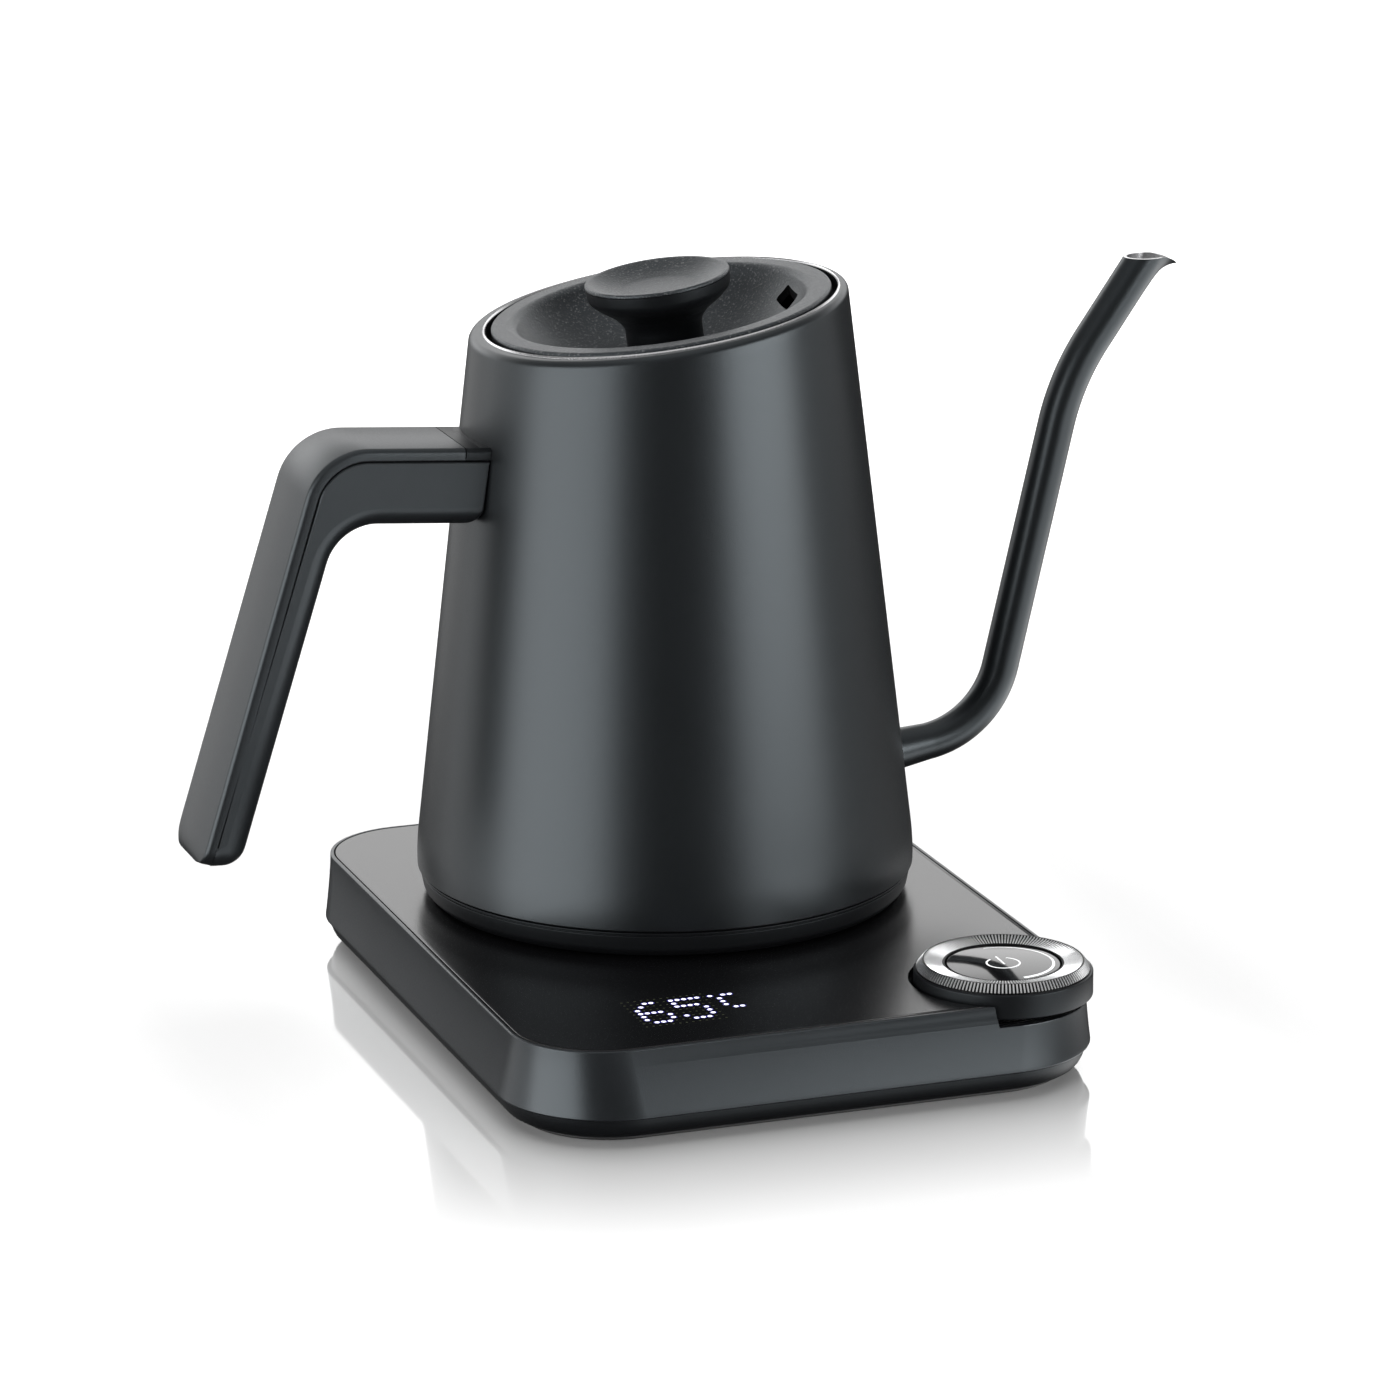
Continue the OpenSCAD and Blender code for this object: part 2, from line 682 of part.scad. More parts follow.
module lid_dish() {
    edge = 0.9;
    skirt_h = -6;
    under_h = -2;
    margin = fillet([lid_r, 0], [dish_edge_r, 0], [dish_side_r, dish_h(dish_side_r)], dish_edge_round, 4);
    top = concat([[lid_r, -edge], [lid_r - edge, 0]], margin, [for (r = dish_radii) [r, dish_h(r)]],
        [[lid_bolt_r + 0.1, -dish_depth]]);
    under = concat([[lid_bolt_r + 0.1, -dish_depth - dish_t]],
        [for (r = reversed(dish_radii)) [r + 0.6, dish_h(r) - dish_t]],
        [[dish_edge_r + 0.6, under_h], [cup_r, under_h], [cup_r, skirt_h], [lid_r, skirt_h]]);
    color("#2e3134") in_lid() difference() {
        rotate_extrude() polygon(concat(top, under));
        rotate(vent_turn) translate([vent_x[0], -vent_w / 2, -12]) cube([vent_x[1] - vent_x[0], vent_w, 13]);
    }
}

module lid_inner_cup() {
    color("#b4b7bb") in_lid() difference() {
        union() {
            ring(cup_r - 0.1, 0, cup_floor_h, cup_floor_h + cup_floor_t);
            ring(cup_r - 0.1, cup_r - 1.5, cup_floor_h, -2.1);
            ring(6, 0, cup_floor_h, -dish_depth - dish_t);
        }
        ring(lid_bolt_r + 0.1, 0, -far, far);
        for (a = [-40:20:40]) rotate(a) translate([32, 0, 0]) ring(2, 0, -far, far);
    }
}

module lid_seal() {
    color("#d7d9db") in_lid() difference() {
        ring(mouth_r - 0.3, cup_r - 0.05, seal_h[0], seal_h[1]);
        ring(mouth_r, cup_r + 1.6, seal_h[0] + 1.2, seal_h[1] - 1.2);
    }
}

module lid_knob() {
    color("#1d1f21") in_lid() rotate_extrude() polygon([
        [lid_bolt_r - 0.05, -dish_depth], [stem_r, -dish_depth], [stem_r, -5.5], [10.3, -3.9], [11.3, -2.5], [12.9, -1.2],
        [14.8, 0.2], [16.7, 1.6], [18, 3.2], [18.5, 5], [knob_r - 0.15, knob_h - 1], [knob_r - 1.2, knob_h - 1],
        [knob_r - 1.2, 3.4], [lid_bolt_r - 0.05, 3.4],
    ]);
}

module knob_cap() {
    color("#33363a") in_lid() rotate_extrude() polygon([
        [0, 3.5], [knob_r - 1.3, 3.5], [knob_r - 1.3, knob_h - 0.9], [knob_r, knob_h - 0.9], [knob_r, knob_h - 0.3],
        [knob_r - 0.5, knob_h], [15, knob_h - 1.5], [12, knob_h - 2.3], [10, knob_h - 2.6], [6, knob_h - 2.9], [0, knob_h - 3],
    ]);
}

module lid_screw() {
    color("#9a9da1") in_lid() translate([0, 0, cup_floor_h]) screw_up(4, 1.8, lid_bolt_r - 0.1, 20);
}

deck_plate();
base_band();
bottom_tray();
foot_strip();
base_screws();
cable_gland();
base_connector();
base_contacts();
power_board();
power_relay();
display_board();
display_matrix();
encoder_board();
button_switch();
dial_bearing();
dial_ring();
dial_skirt();
magnet_ring();
power_button();
button_carrier();
kettle_socket();
socket_contacts();
kettle_body();
kettle_floor();
floor_posts();
heat_spreader();
heating_element();
temperature_sensor();
dry_boil_cutout();
foot_ring();
bottom_cover();
bottom_screws();
spout_tube();
handle_bracket();
handle_grip();
handle_cover();
handle_screws();
lid_dish();
lid_inner_cup();
lid_seal();
lid_knob();
knob_cap();
lid_screw();
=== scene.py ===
"""Looks of an electric gooseneck kettle on its power base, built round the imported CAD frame."""
import json
import math

import bpy
from mathutils import Matrix, Vector

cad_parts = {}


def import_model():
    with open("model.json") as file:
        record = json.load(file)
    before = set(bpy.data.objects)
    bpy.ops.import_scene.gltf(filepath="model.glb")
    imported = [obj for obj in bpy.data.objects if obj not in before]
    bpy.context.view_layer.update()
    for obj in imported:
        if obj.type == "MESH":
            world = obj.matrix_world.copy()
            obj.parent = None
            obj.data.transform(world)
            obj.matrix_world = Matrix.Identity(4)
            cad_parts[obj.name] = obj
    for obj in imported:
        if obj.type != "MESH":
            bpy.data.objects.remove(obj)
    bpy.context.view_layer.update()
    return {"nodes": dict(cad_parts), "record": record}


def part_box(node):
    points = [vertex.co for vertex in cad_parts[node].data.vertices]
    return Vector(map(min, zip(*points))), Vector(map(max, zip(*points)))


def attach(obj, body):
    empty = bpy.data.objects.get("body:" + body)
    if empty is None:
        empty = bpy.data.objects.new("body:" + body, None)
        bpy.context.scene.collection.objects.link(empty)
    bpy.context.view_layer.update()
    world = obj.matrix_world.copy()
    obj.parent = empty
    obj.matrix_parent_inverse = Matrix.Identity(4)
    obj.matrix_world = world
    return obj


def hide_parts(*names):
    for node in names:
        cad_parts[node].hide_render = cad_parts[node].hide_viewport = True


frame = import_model()

MM = 0.001
TAU = 2 * math.pi


# ---------------------------------------------------------------- places taken from the frame, in mm
def low(node):
    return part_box(node)[0] / MM


def high(node):
    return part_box(node)[1] / MM


def middle(node):
    return (low(node) + high(node)) / 2


BAND_LOW, BAND_HIGH = low("base_band"), high("base_band")
DECK_Z = high("deck_plate").z
BAND_FLARE = 2.4
BASE_W = BAND_HIGH.x - BAND_LOW.x - 2 * BAND_FLARE
BASE_D = BAND_HIGH.y - BAND_LOW.y - 2 * BAND_FLARE
CORNER_R = 23.5
CORNER_GAIN = 3.1               # how much rounder the base's corners are at its foot
SCREW_SPOTS = [(62, 52), (-62, 52), (-62, -52), (62, -52)]
POCKET_R = 23.8
POCKET_FLOOR_Z = DECK_Z - 5.5
PLUG_R = 17
PLUG_TOP_Z = high("base_connector").z

DIAL = middle("dial_skirt").xy
SKIRT_R = (high("dial_skirt").x - low("dial_skirt").x) / 2
SKIRT_BOTTOM_Z = low("dial_skirt").z + 0.5
SKIRT_TOP_Z = high("dial_skirt").z
CREST_Z = high("dial_ring").z
GLASS_R = (high("power_button").x - low("power_button").x) / 2
GLASS_TOP_Z = high("power_button").z

KETTLE = middle("foot_ring").xy
FOOT_Z = low("foot_ring").z
SEAM_Z = low("kettle_body").z
CONE_R = 65.5
CONE_LEAN = 0.116
HEM_H = 10
HEM_CURVE = 0.0075
WALL_T = 0.8
RIM_Z = 178.9
RIM_TILT = math.radians(7.75)
RIM_STEP = 1.2                  # the collar hangs this far under the rim's plane
MOUTH_R = 45.4
COLLAR_DROP = 7
KETTLE_SIDES = 256

LID_PROUD = 0.75
LID_R = 43.9
DISH_EDGE_R, DISH_SIDE_R, DISH_FLOOR_R, DISH_DEPTH = 38, 36.2, 14, 15
KNOB_R, KNOB_H = 18.7, 7.7

HANDLE_W = high("handle_cover").y - low("handle_cover").y
COVER_T = 3.1
GROOVE = 0.3
ARM_END, ARM_CORNER, LEG_END = (-57, 149.5), (-95, 152.4), (-128.5, 46.9)
CROOK, ARM_ROOT, LEG_INNER = (-89.7, 131.9), (-45, 128.3), (-117.4, 45.4)
OUTER_BEND_R, INNER_BEND_R, TOE_R = 16.5, 13, 5

SPOUT_R, SPOUT_T = 4.85, 0.7
SPOUT_TOP_Z = 182.5
SPOUT_LOW, SPOUT_KNEE = (66.8, 55.2), (90.4, 58.5)
SPOUT_NECK, SPOUT_TIP = (112.5, 151.3), (133.9, 181.6)
SPOUT_KNEE_R, SPOUT_NECK_R = 25, 64


# ---------------------------------------------------------------- plane geometry
def unit(v):
    return v.normalized()


def fillet(a, b, c, r, steps=10):
    """Points of the arc that rounds the corner b of the path a, b, c; just b when r is 0."""
    a, b, c = Vector(a), Vector(b), Vector(c)
    if r <= 0:
        return [b]
    u, v = unit(a - b), unit(c - b)
    half = u.angle(v) / 2
    centre = b + unit(u + v) * (r / math.sin(half))
    p = b + u * (r / math.tan(half)) - centre
    q = b + v * (r / math.tan(half)) - centre
    start = math.atan2(p.y, p.x)
    turn = math.atan2(p.x * q.y - p.y * q.x, p.dot(q))
    angles = [start + turn * i / steps for i in range(steps + 1)]
    return [centre + r * Vector((math.cos(t), math.sin(t))) for t in angles]


def rounded(corners, steps=5):
    """A closed outline from (x, y, radius) corners."""
    n = len(corners)
    points = []
    for i, (x, y, r) in enumerate(corners):
        before, after = corners[i - 1], corners[(i + 1) % n]
        points += fillet(before[:2], (x, y), after[:2], r, steps)
    return points


def open_path(corners, steps):
    """Like rounded(), for a path whose two ends stay as they are."""
    points = [Vector(corners[0][:2])]
    for i in range(1, len(corners) - 1):
        x, y, r = corners[i]
        points += fillet(corners[i - 1][:2], (x, y), corners[i + 1][:2], r, steps)
    return points + [Vector(corners[-1][:2])]


# ---------------------------------------------------------------- mesh helpers (points in mm)
MANY_CORNERS = 8


def make(name, points, faces, smooth_angle=35):
    mesh = bpy.data.meshes.new(name)
    mesh.from_pydata([Vector(p) * MM for p in points], [], faces)
    mesh.validate()
    obj = bpy.data.objects.new(name, mesh)
    bpy.context.scene.collection.objects.link(obj)
    shade(obj, smooth_angle)
    return obj


def shade(obj, angle=35):
    """Smooth, but for edges sharper than angle and for flat faces with many corners."""
    obj.data.shade_smooth()
    obj.data.set_sharp_from_angle(angle=math.radians(angle))
    for face in obj.data.polygons:
        if len(face.vertices) > MANY_CORNERS:
            face.use_smooth = False


def bake(obj, angle=35):
    """Applies the modifiers of obj."""
    graph = bpy.context.evaluated_depsgraph_get()
    mesh = bpy.data.meshes.new_from_object(obj.evaluated_get(graph))
    mesh.name = obj.name
    obj.modifiers.clear()
    obj.data = mesh
    shade(obj, angle)
    return obj


def boolean(obj, other, how="DIFFERENCE"):
    """Cuts other out of obj, or joins it, and takes other away."""
    m = obj.modifiers.new("boolean", "BOOLEAN")
    m.operation = how
    m.solver = "EXACT"
    m.object = other
    bake(obj)
    bpy.data.objects.remove(other)
    return obj


def bevel(obj, width, angle):
    """Softens the edges that are sharper than angle."""
    m = obj.modifiers.new("bevel", "BEVEL")
    m.width = width * MM
    m.segments = 2
    m.limit_method = "ANGLE"
    m.angle_limit = math.radians(angle)
    bake(obj, 30)
    return even(obj, 30)


def even(obj, angle=35):
    """Lets the large faces set the shading, so that the small ones beside them don't tint them."""
    obj.modifiers.new("even_shading", "WEIGHTED_NORMAL").keep_sharp = True
    return bake(obj, angle)


def join(name, parts):
    """One object out of several, which are taken away."""
    points, faces = [], []
    for o in parts:
        start = len(points)
        points += [v.co / MM for v in o.data.vertices]
        faces += [[start + i for i in p.vertices] for p in o.data.polygons]
        bpy.data.objects.remove(o)
    return make(name, points, faces)


def rings(name, loops, closed=False, caps=(False, False), smooth_angle=35):
    """A skin over loops of equal length; closed joins the last loop to the first."""
    n = len(loops[0])
    points = [p for loop in loops for p in loop]
    faces = []
    pairs = [(i, i + 1) for i in range(len(loops) - 1)]
    if closed:
        pairs.append((len(loops) - 1, 0))
    for i, j in pairs:
        faces += [(i * n + k, i * n + (k + 1) % n, j * n + (k + 1) % n, j * n + k) for k in range(n)]
    if caps[0]:
        faces.append(tuple(reversed(range(n))))
    if caps[1]:
        start = (len(loops) - 1) * n
        faces.append(tuple(range(start, start + n)))
    return make(name, points, faces, smooth_angle)


ON_AXIS = 1e-6


def lathe(name, outline, centre=(0, 0), segments=192, place=None, smooth_angle=35):
    """Revolves a closed, anticlockwise (r, z) outline; its points at r = 0 meet on the axis."""
    place = place or Matrix.Translation((centre[0], centre[1], 0))
    points, index = [], []
    for r, z in outline:
        if r < ON_AXIS:
            index.append([len(points)] * segments)
            points.append(place @ Vector((0, 0, z)))
        else:
            index.append(list(range(len(points), len(points) + segments)))
            for k in range(segments):
                t = TAU * k / segments
                points.append(place @ Vector((r * math.cos(t), r * math.sin(t), z)))
    faces = []
    for i in range(len(outline)):
        a, b = index[i], index[(i + 1) % len(outline)]
        for k in range(segments):
            face = [a[k], a[(k + 1) % segments], b[(k + 1) % segments], b[k]]
            face = list(dict.fromkeys(face))
            if len(face) > 2:
                faces.append(face)
    return make(name, points, faces, smooth_angle)


def disc_between(name, r, z0, z1, centre):
    return lathe(name, [(0, z0), (r, z0), (r, z1), (0, z1)], centre, 128)


def slab_loop(offset, z):
    """The base's outline, moved out by offset, at height z; its corners are rounder further down."""
    steps = 24
    rounder = CORNER_GAIN * min(1.0, max(0.0, (DECK_Z - z) / (DECK_Z - BAND_LOW.z)))
    loop = []
    for i, (sx, sy) in enumerate([(1, 1), (-1, 1), (-1, -1), (1, -1)]):
        cx, cy = sx * (BASE_W / 2 - CORNER_R - rounder), sy * (BASE_D / 2 - CORNER_R - rounder)
        for k in range(steps + 1):
            t = TAU / 4 * (i + k / steps)
            r = CORNER_R + rounder + offset
            loop.append(Vector((cx + r * math.cos(t), cy + r * math.sin(t), z)))
    return loop


def slab_ring(name, outline):
    """A closed (offset, z) outline carried round the base."""
    return rings(name, [slab_loop(o, z) for o, z in reversed(outline)], closed=True)


def slab_solid(name, outline):
    """An open (offset, z) outline from bottom to top, closed with flat ends."""
    return rings(name, [slab_loop(o, z) for o, z in outline], caps=(True, True))


def box_solid(name, lo, hi, place, corner=0.0):
    """A block between two corners, with its upright edges rounded."""
    (x0, y0, z0), (x1, y1, z1) = lo, hi
    outline = rounded([(x0, y0, corner), (x1, y0, corner), (x1, y1, corner), (x0, y1, corner)])
    loops = [[place @ Vector((p.x, p.y, z)) for p in outline] for z in (z0, z1)]
    return rings(name, loops, caps=(True, True))


# ---------------------------------------------------------------- materials
def shader_nodes(name):
    material = bpy.data.materials.new(name)
    material.use_nodes = True
    tree = material.node_tree
    return material, tree, tree.nodes["Principled BSDF"]


def add(tree, kind, links=None, **values):
    """A node with its inputs and properties set; links gives the socket that feeds an input."""
    node = tree.nodes.new(kind)
    for key, value in values.items():
        if key in node.inputs:
            node.inputs[key].default_value = value
        else:
            setattr(node, key, value)
    for key, socket in (links or {}).items():
        tree.links.new(socket, node.inputs[key])
    return node


def noise(tree, size_mm, detail=2.0, stretch=(1, 1, 1)):
    """Noise with features of about size_mm, in the object's own coordinates."""
    where = add(tree, "ShaderNodeTexCoord")
    mapping = add(tree, "ShaderNodeMapping", {"Vector": where.outputs["Object"]})
    mapping.inputs["Scale"].default_value = stretch
    return add(tree, "ShaderNodeTexNoise", {"Vector": mapping.outputs["Vector"]},
               Scale=1 / (size_mm * MM), Detail=detail, Roughness=0.6).outputs["Fac"]


def ramp(tree, socket, low_value, high_value, start=0.3, end=0.7):
    """Goes from low_value to high_value while the socket goes from start to end."""
    node = add(tree, "ShaderNodeMapRange", {"Value": socket})
    node.inputs["From Min"].default_value = start
    node.inputs["From Max"].default_value = end
    node.inputs["To Min"].default_value = low_value
    node.inputs["To Max"].default_value = high_value
    return node.outputs["Result"]


def blend_colour(tree, socket, dark, light):
    node = tree.nodes.new("ShaderNodeMix")
    node.data_type = "RGBA"
    tree.links.new(socket, node.inputs["Factor"])
    node.inputs["A"].default_value = (*dark, 1)
    node.inputs["B"].default_value = (*light, 1)
    return node.outputs["Result"]


CLOUD_MM, CLOUD_TONE = 30, 0.12


def finish(name, colour, rough, grain_mm, bump_mm, rough_swing=0.04, metallic=0.0,
           specular=0.5, gloss_tint=(1, 1, 1), stretch=(1, 1, 1), fleck=0.0):
    """A surface with cloudy colour, a little uneven gloss and fine grain in relief, and light flecks."""
    material, tree, bsdf = shader_nodes(name)
    cloud = noise(tree, CLOUD_MM, 3)
    grain = noise(tree, grain_mm, 3, stretch)
    dark = [c * (1 - CLOUD_TONE) for c in colour]
    light = [c * (1 + CLOUD_TONE) for c in colour]
    tint = blend_colour(tree, ramp(tree, cloud, 0, 1), dark, light)
    if fleck:
        flecks = tree.nodes.new("ShaderNodeMix")
        flecks.data_type = "RGBA"
        tree.links.new(ramp(tree, grain, 0, 1, 0.56, 0.7), flecks.inputs["Factor"])
        tree.links.new(tint, flecks.inputs["A"])
        flecks.inputs["B"].default_value = (*[min(1, c + fleck) for c in colour], 1)
        tint = flecks.outputs["Result"]
    tree.links.new(tint, bsdf.inputs["Base Color"])
    tree.links.new(ramp(tree, grain, rough - rough_swing, rough + rough_swing), bsdf.inputs["Roughness"])
    bump = add(tree, "ShaderNodeBump", {"Height": grain}, Distance=bump_mm * MM)
    tree.links.new(bump.outputs["Normal"], bsdf.inputs["Normal"])
    bsdf.inputs["Metallic"].default_value = metallic
    bsdf.inputs["Specular IOR Level"].default_value = specular
    # gloss_tint colours the reflections; the blue one used below is painted light standing in for bluish
    # lamps
    bsdf.inputs["Specular Tint"].default_value = (*gloss_tint, 1)
    return material


def glow(name, colour, strength):
    """Lit LED, back-lit print, and the painted glow round the lit dots and on the unlit ones: a little
    uneven, and it gives its own light.
    """
    material, tree, bsdf = shader_nodes(name)
    tint = blend_colour(tree, noise(tree, 0.5), [c * 0.85 for c in colour], colour)
    tree.links.new(tint, bsdf.inputs["Base Color"])
    tree.links.new(tint, bsdf.inputs["Emission Color"])
    bsdf.inputs["Emission Strength"].default_value = strength
    bsdf.inputs["Roughness"].default_value = 0.4
    return material


PAINTED_BLUE_REFLECTION = (0.84, 0.94, 1.0)        # painted light: a faint blue tint in the reflections, standing in for bluish lamps

# colour, roughness, the grain's size and its depth in mm, and what else differs from a plain finish
FINISHES = {
    "satin_black_coat": ((0.004, 0.0044, 0.005), 0.36, 0.35, 0.012, dict(gloss_tint=PAINTED_BLUE_REFLECTION)),
    "band_coat": ((0.009, 0.0098, 0.011), 0.32, 0.35, 0.012, dict(gloss_tint=PAINTED_BLUE_REFLECTION)),
    "deck_black": ((0.003, 0.003, 0.0034), 0.24, 0.3, 0.014, {}),
    "black_plastic": ((0.005, 0.0053, 0.006), 0.4, 0.3, 0.015, dict(specular=0.22, gloss_tint=PAINTED_BLUE_REFLECTION)),
    "grained_charcoal": ((0.012, 0.013, 0.0145), 0.38, 0.6, 0.16,
                         dict(rough_swing=0.1, gloss_tint=PAINTED_BLUE_REFLECTION, fleck=0.1)),
    # painted shade: the steam vent's walls, darker than the grained dish round them
    "vent_painted_shade": ((0.004, 0.004, 0.0044), 0.6, 0.5, 0.01, dict(specular=0.1)),
    "handle_plastic": ((0.008, 0.0086, 0.0095), 0.38, 0.32, 0.02, dict(gloss_tint=PAINTED_BLUE_REFLECTION)),
    "dial_metal": ((0.82, 0.825, 0.83), 0.3, 0.3, 0.006, dict(metallic=1.0)),
    # painted shade: dark metal that makes the dial's grooves between the ribs look shaded
    "dial_groove_painted_shade": ((0.02, 0.02, 0.021), 0.45, 0.3, 0.006, dict(metallic=1.0)),
    "button_glass": ((0.004, 0.004, 0.0045), 0.06, 3.0, 0.0005, dict(rough_swing=0.01)),
    "black_rubber": ((0.014, 0.014, 0.0145), 0.6, 0.25, 0.03, {}),
    "seal_silicone": ((0.5, 0.51, 0.52), 0.5, 0.5, 0.01, {}),
    "bare_steel": ((0.6, 0.6, 0.61), 0.26, 0.5, 0.006, dict(metallic=1.0, stretch=(1, 1, 14))),
    "spreader_aluminium": ((0.66, 0.67, 0.68), 0.35, 0.5, 0.01, dict(metallic=1.0)),
    "contact_brass": ((0.75, 0.6, 0.3), 0.25, 0.5, 0.005, dict(metallic=1.0)),
    "board_green": ((0.03, 0.16, 0.08), 0.4, 0.6, 0.01, {}),
    "component_blue": ((0.08, 0.17, 0.4), 0.35, 0.5, 0.008, {}),
    "display_white": ((0.8, 0.81, 0.86), 0.5, 0.5, 0.01, {}),
    "bearing_white": ((0.75, 0.75, 0.72), 0.45, 0.5, 0.01, {}),
    "ceramic_cream": ((0.72, 0.68, 0.6), 0.5, 0.4, 0.02, {}),
}
M = {name: finish(name, *values, **more) for name, (*values, more) in FINISHES.items()}

for entry in frame["record"]["subparts"]:
    own_materials = frame["nodes"][entry["node"]].data.materials
    own_materials.clear()
    own_materials.append(M[entry["material_slot"]])


def place_piece(obj, body, slot, *nodes, material=None, keep_look=False):
    """Gives a piece its finish, its body and the CAD nodes that it stands for."""
    if not keep_look:
        obj.data.materials.clear()
        obj.data.materials.append(material or M[slot])
    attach(obj, body)
    if nodes:
        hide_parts(*nodes)
    return obj


# ---------------------------------------------------------------- power base
def base_band():
    """The painted band: a slightly curved flare with a lip over the deck's edge, and the dial's notch."""
    lip, wall, steps, curve = 1.0, 2.2, 12, 1.3
    ledge_z = DECK_Z - 2.6
    flank = []
    for s in range(1, steps):
        z = BAND_LOW.z + (DECK_Z - BAND_LOW.z) * s / steps
        flank.append((BAND_FLARE * (1 - s / steps) ** curve, z, 0))
    outline = rounded([
        (BAND_FLARE, BAND_LOW.z, 0.5), *flank, (0, DECK_Z, 0.4), (-lip, DECK_Z, 0.2),
        (-lip, ledge_z, 0), (-wall, ledge_z, 0), (BAND_FLARE - wall, BAND_LOW.z, 0.3)])
    band = slab_ring("base_band_shell", outline)
    notch = disc_between("notch", POCKET_R, POCKET_FLOOR_Z, DECK_Z + 5, DIAL)
    boolean(band, notch)
    gland = middle("cable_gland")
    at_back = Matrix.Translation((gland.x, BASE_D / 2, gland.z)) @ Matrix.Rotation(TAU / 4, 4, "X")
    hole_r, reach = 5.45, 12
    hole = [(0, -reach), (hole_r, -reach), (hole_r, reach), (0, reach)]
    boolean(band, lathe("hole", hole, segments=48, place=at_back))
    bevel(band, 0.3, 50)
    place_piece(band, "base", "band_coat", "base_band")


def deck_plate():
    """The dark top plate, with the wall and floor of the dial's pocket and four posts under it."""
    inset, under = 1.32, DECK_Z - 2.5
    outline = open_path([(-inset, under, 0), (-inset, DECK_Z, 0.22), (-inset - 1, DECK_Z, 0)], 4)
    deck = slab_solid("deck", outline)
    boolean(deck, disc_between("hole", PLUG_R + 0.2, 0, DECK_Z + 5, KETTLE))
    boolean(deck, disc_between("pocket", POCKET_R, 0, DECK_Z + 5, DIAL))
    bevel(deck, 0.2, 60)
    bearing_r, outer_r = 12, POCKET_R + 1.4
    floor_z, wall_z = POCKET_FLOOR_Z - 1.6, DECK_Z - 0.6
    pocket = [(bearing_r, floor_z), (outer_r, floor_z), (outer_r, wall_z), (POCKET_R, wall_z),
              (POCKET_R, POCKET_FLOOR_Z), (bearing_r, POCKET_FLOOR_Z)]
    wall = lathe("pocket_wall", pocket, DIAL)
    inside_band = slab_solid("inside_band", [(-2.6, 0), (-2.6, DECK_Z + 5)])
    boolean(wall, inside_band, "INTERSECT")
    bore_r, post_r, post_z = 1.45, 3.6, 3.3
    post = [(bore_r, post_z), (post_r, post_z), (post_r, under), (bore_r, under)]
    posts = [lathe("post", post, spot, 40) for spot in SCREW_SPOTS]
    deck = join("deck_plate_moulding", [deck, wall, *posts])
    place_piece(deck, "base", "deck_black", "deck_plate")


def bottom_tray():
    """Floor pan: its side curves in from under the band to the foot strip."""
    outer = [(-3.2, 1.2), (-2.0, 1.55), (-0.9, 2.2), (0.0, 3.2), (0.6, 4.4), (1.0, 5.7), (1.2, 7.0)]
    tray = slab_solid("bottom_tray_pan", outer)
    boolean(tray, slab_solid("inside", [(-4.6, 3.2), (-1.4, 4.6), (-0.8, 8.0)]))
    head_r, head_z, shank_r, top_z = 3.2, 2.2, 1.6, 5
    hole = [(0, 0), (head_r, 0), (head_r, head_z), (shank_r, head_z), (shank_r, top_z), (0, top_z)]
    for spot in SCREW_SPOTS:
        boolean(tray, lathe("hole", hole, spot, 40))
    bevel(tray, 0.15, 60)
    place_piece(tray, "base", "black_plastic", "bottom_tray")


def foot_strip():
    """Rubber strip all round under the tray."""
    outer, inner, top = -4.2, -9.2, 1.2
    outline = rounded([(outer, top, 0), (inner, top, 0), (inner, 0, 0.45), (outer, 0, 0.45)])
    strip = slab_ring("foot_strip_rubber", list(reversed(outline)))
    place_piece(strip, "base", "black_rubber", "foot_strip")


def cable_gland():
    """A grommet with a soft-edged collar outside and a groove that grips the wall."""
    gland = middle("cable_gland")
    back = high("cable_gland").y
    bore, neck, collar = 3.4, 5.4, 7
    outline = rounded([
        (bore, -12, 0.4), (collar, -12, 0.3), (collar, -10, 0.3), (neck, -10, 0), (neck, -1.7, 0),
        (collar, -1.7, 0.3), (collar, 0, 0.7), (bore, 0, 0.5)])
    at_back = Matrix.Translation((gland.x, back, gland.z)) @ Matrix.Rotation(TAU / 4, 4, "X")
    piece = lathe("cable_gland_grommet", [(p.x, -p.y) for p in reversed(outline)], segments=72, place=at_back)
    place_piece(piece, "base", "black_rubber", "cable_gland")


def base_connector():
    """Round plug tower with two ring slots and an earth hole."""
    top, slot_z, flange_z = PLUG_TOP_Z, PLUG_TOP_Z - 8, DECK_Z - 2.5
    outline = rounded([
        (0, flange_z - 3, 0), (22, flange_z - 3, 0.3), (22, flange_z, 0.3), (PLUG_R, flange_z, 0),
        (PLUG_R, top, 1.2), (12.5, top, 0.35), (12.5, slot_z, 0), (9.5, slot_z, 0), (9.5, top, 0.35),
        (7.5, top, 0.35), (7.5, slot_z, 0), (4.5, slot_z, 0), (4.5, top, 0.35), (2.2, top, 0.5),
        (2.2, slot_z - 1, 0), (0, slot_z - 1, 0)])
    place_piece(lathe("base_connector_tower", outline, KETTLE), "base", "black_plastic", "base_connector")


DIGIT_SIX = ["..XX.", ".X...", "X....", "XXXX.", "X...X", "X...X", ".XXX."]
DIGIT_FIVE = ["XXXXX", "X....", "XXXX.", "....X", "....X", "X...X", ".XXX."]
DEGREE = ["X"]
LETTER_C = [".XX", "X..", "X..", "X..", ".XX"]


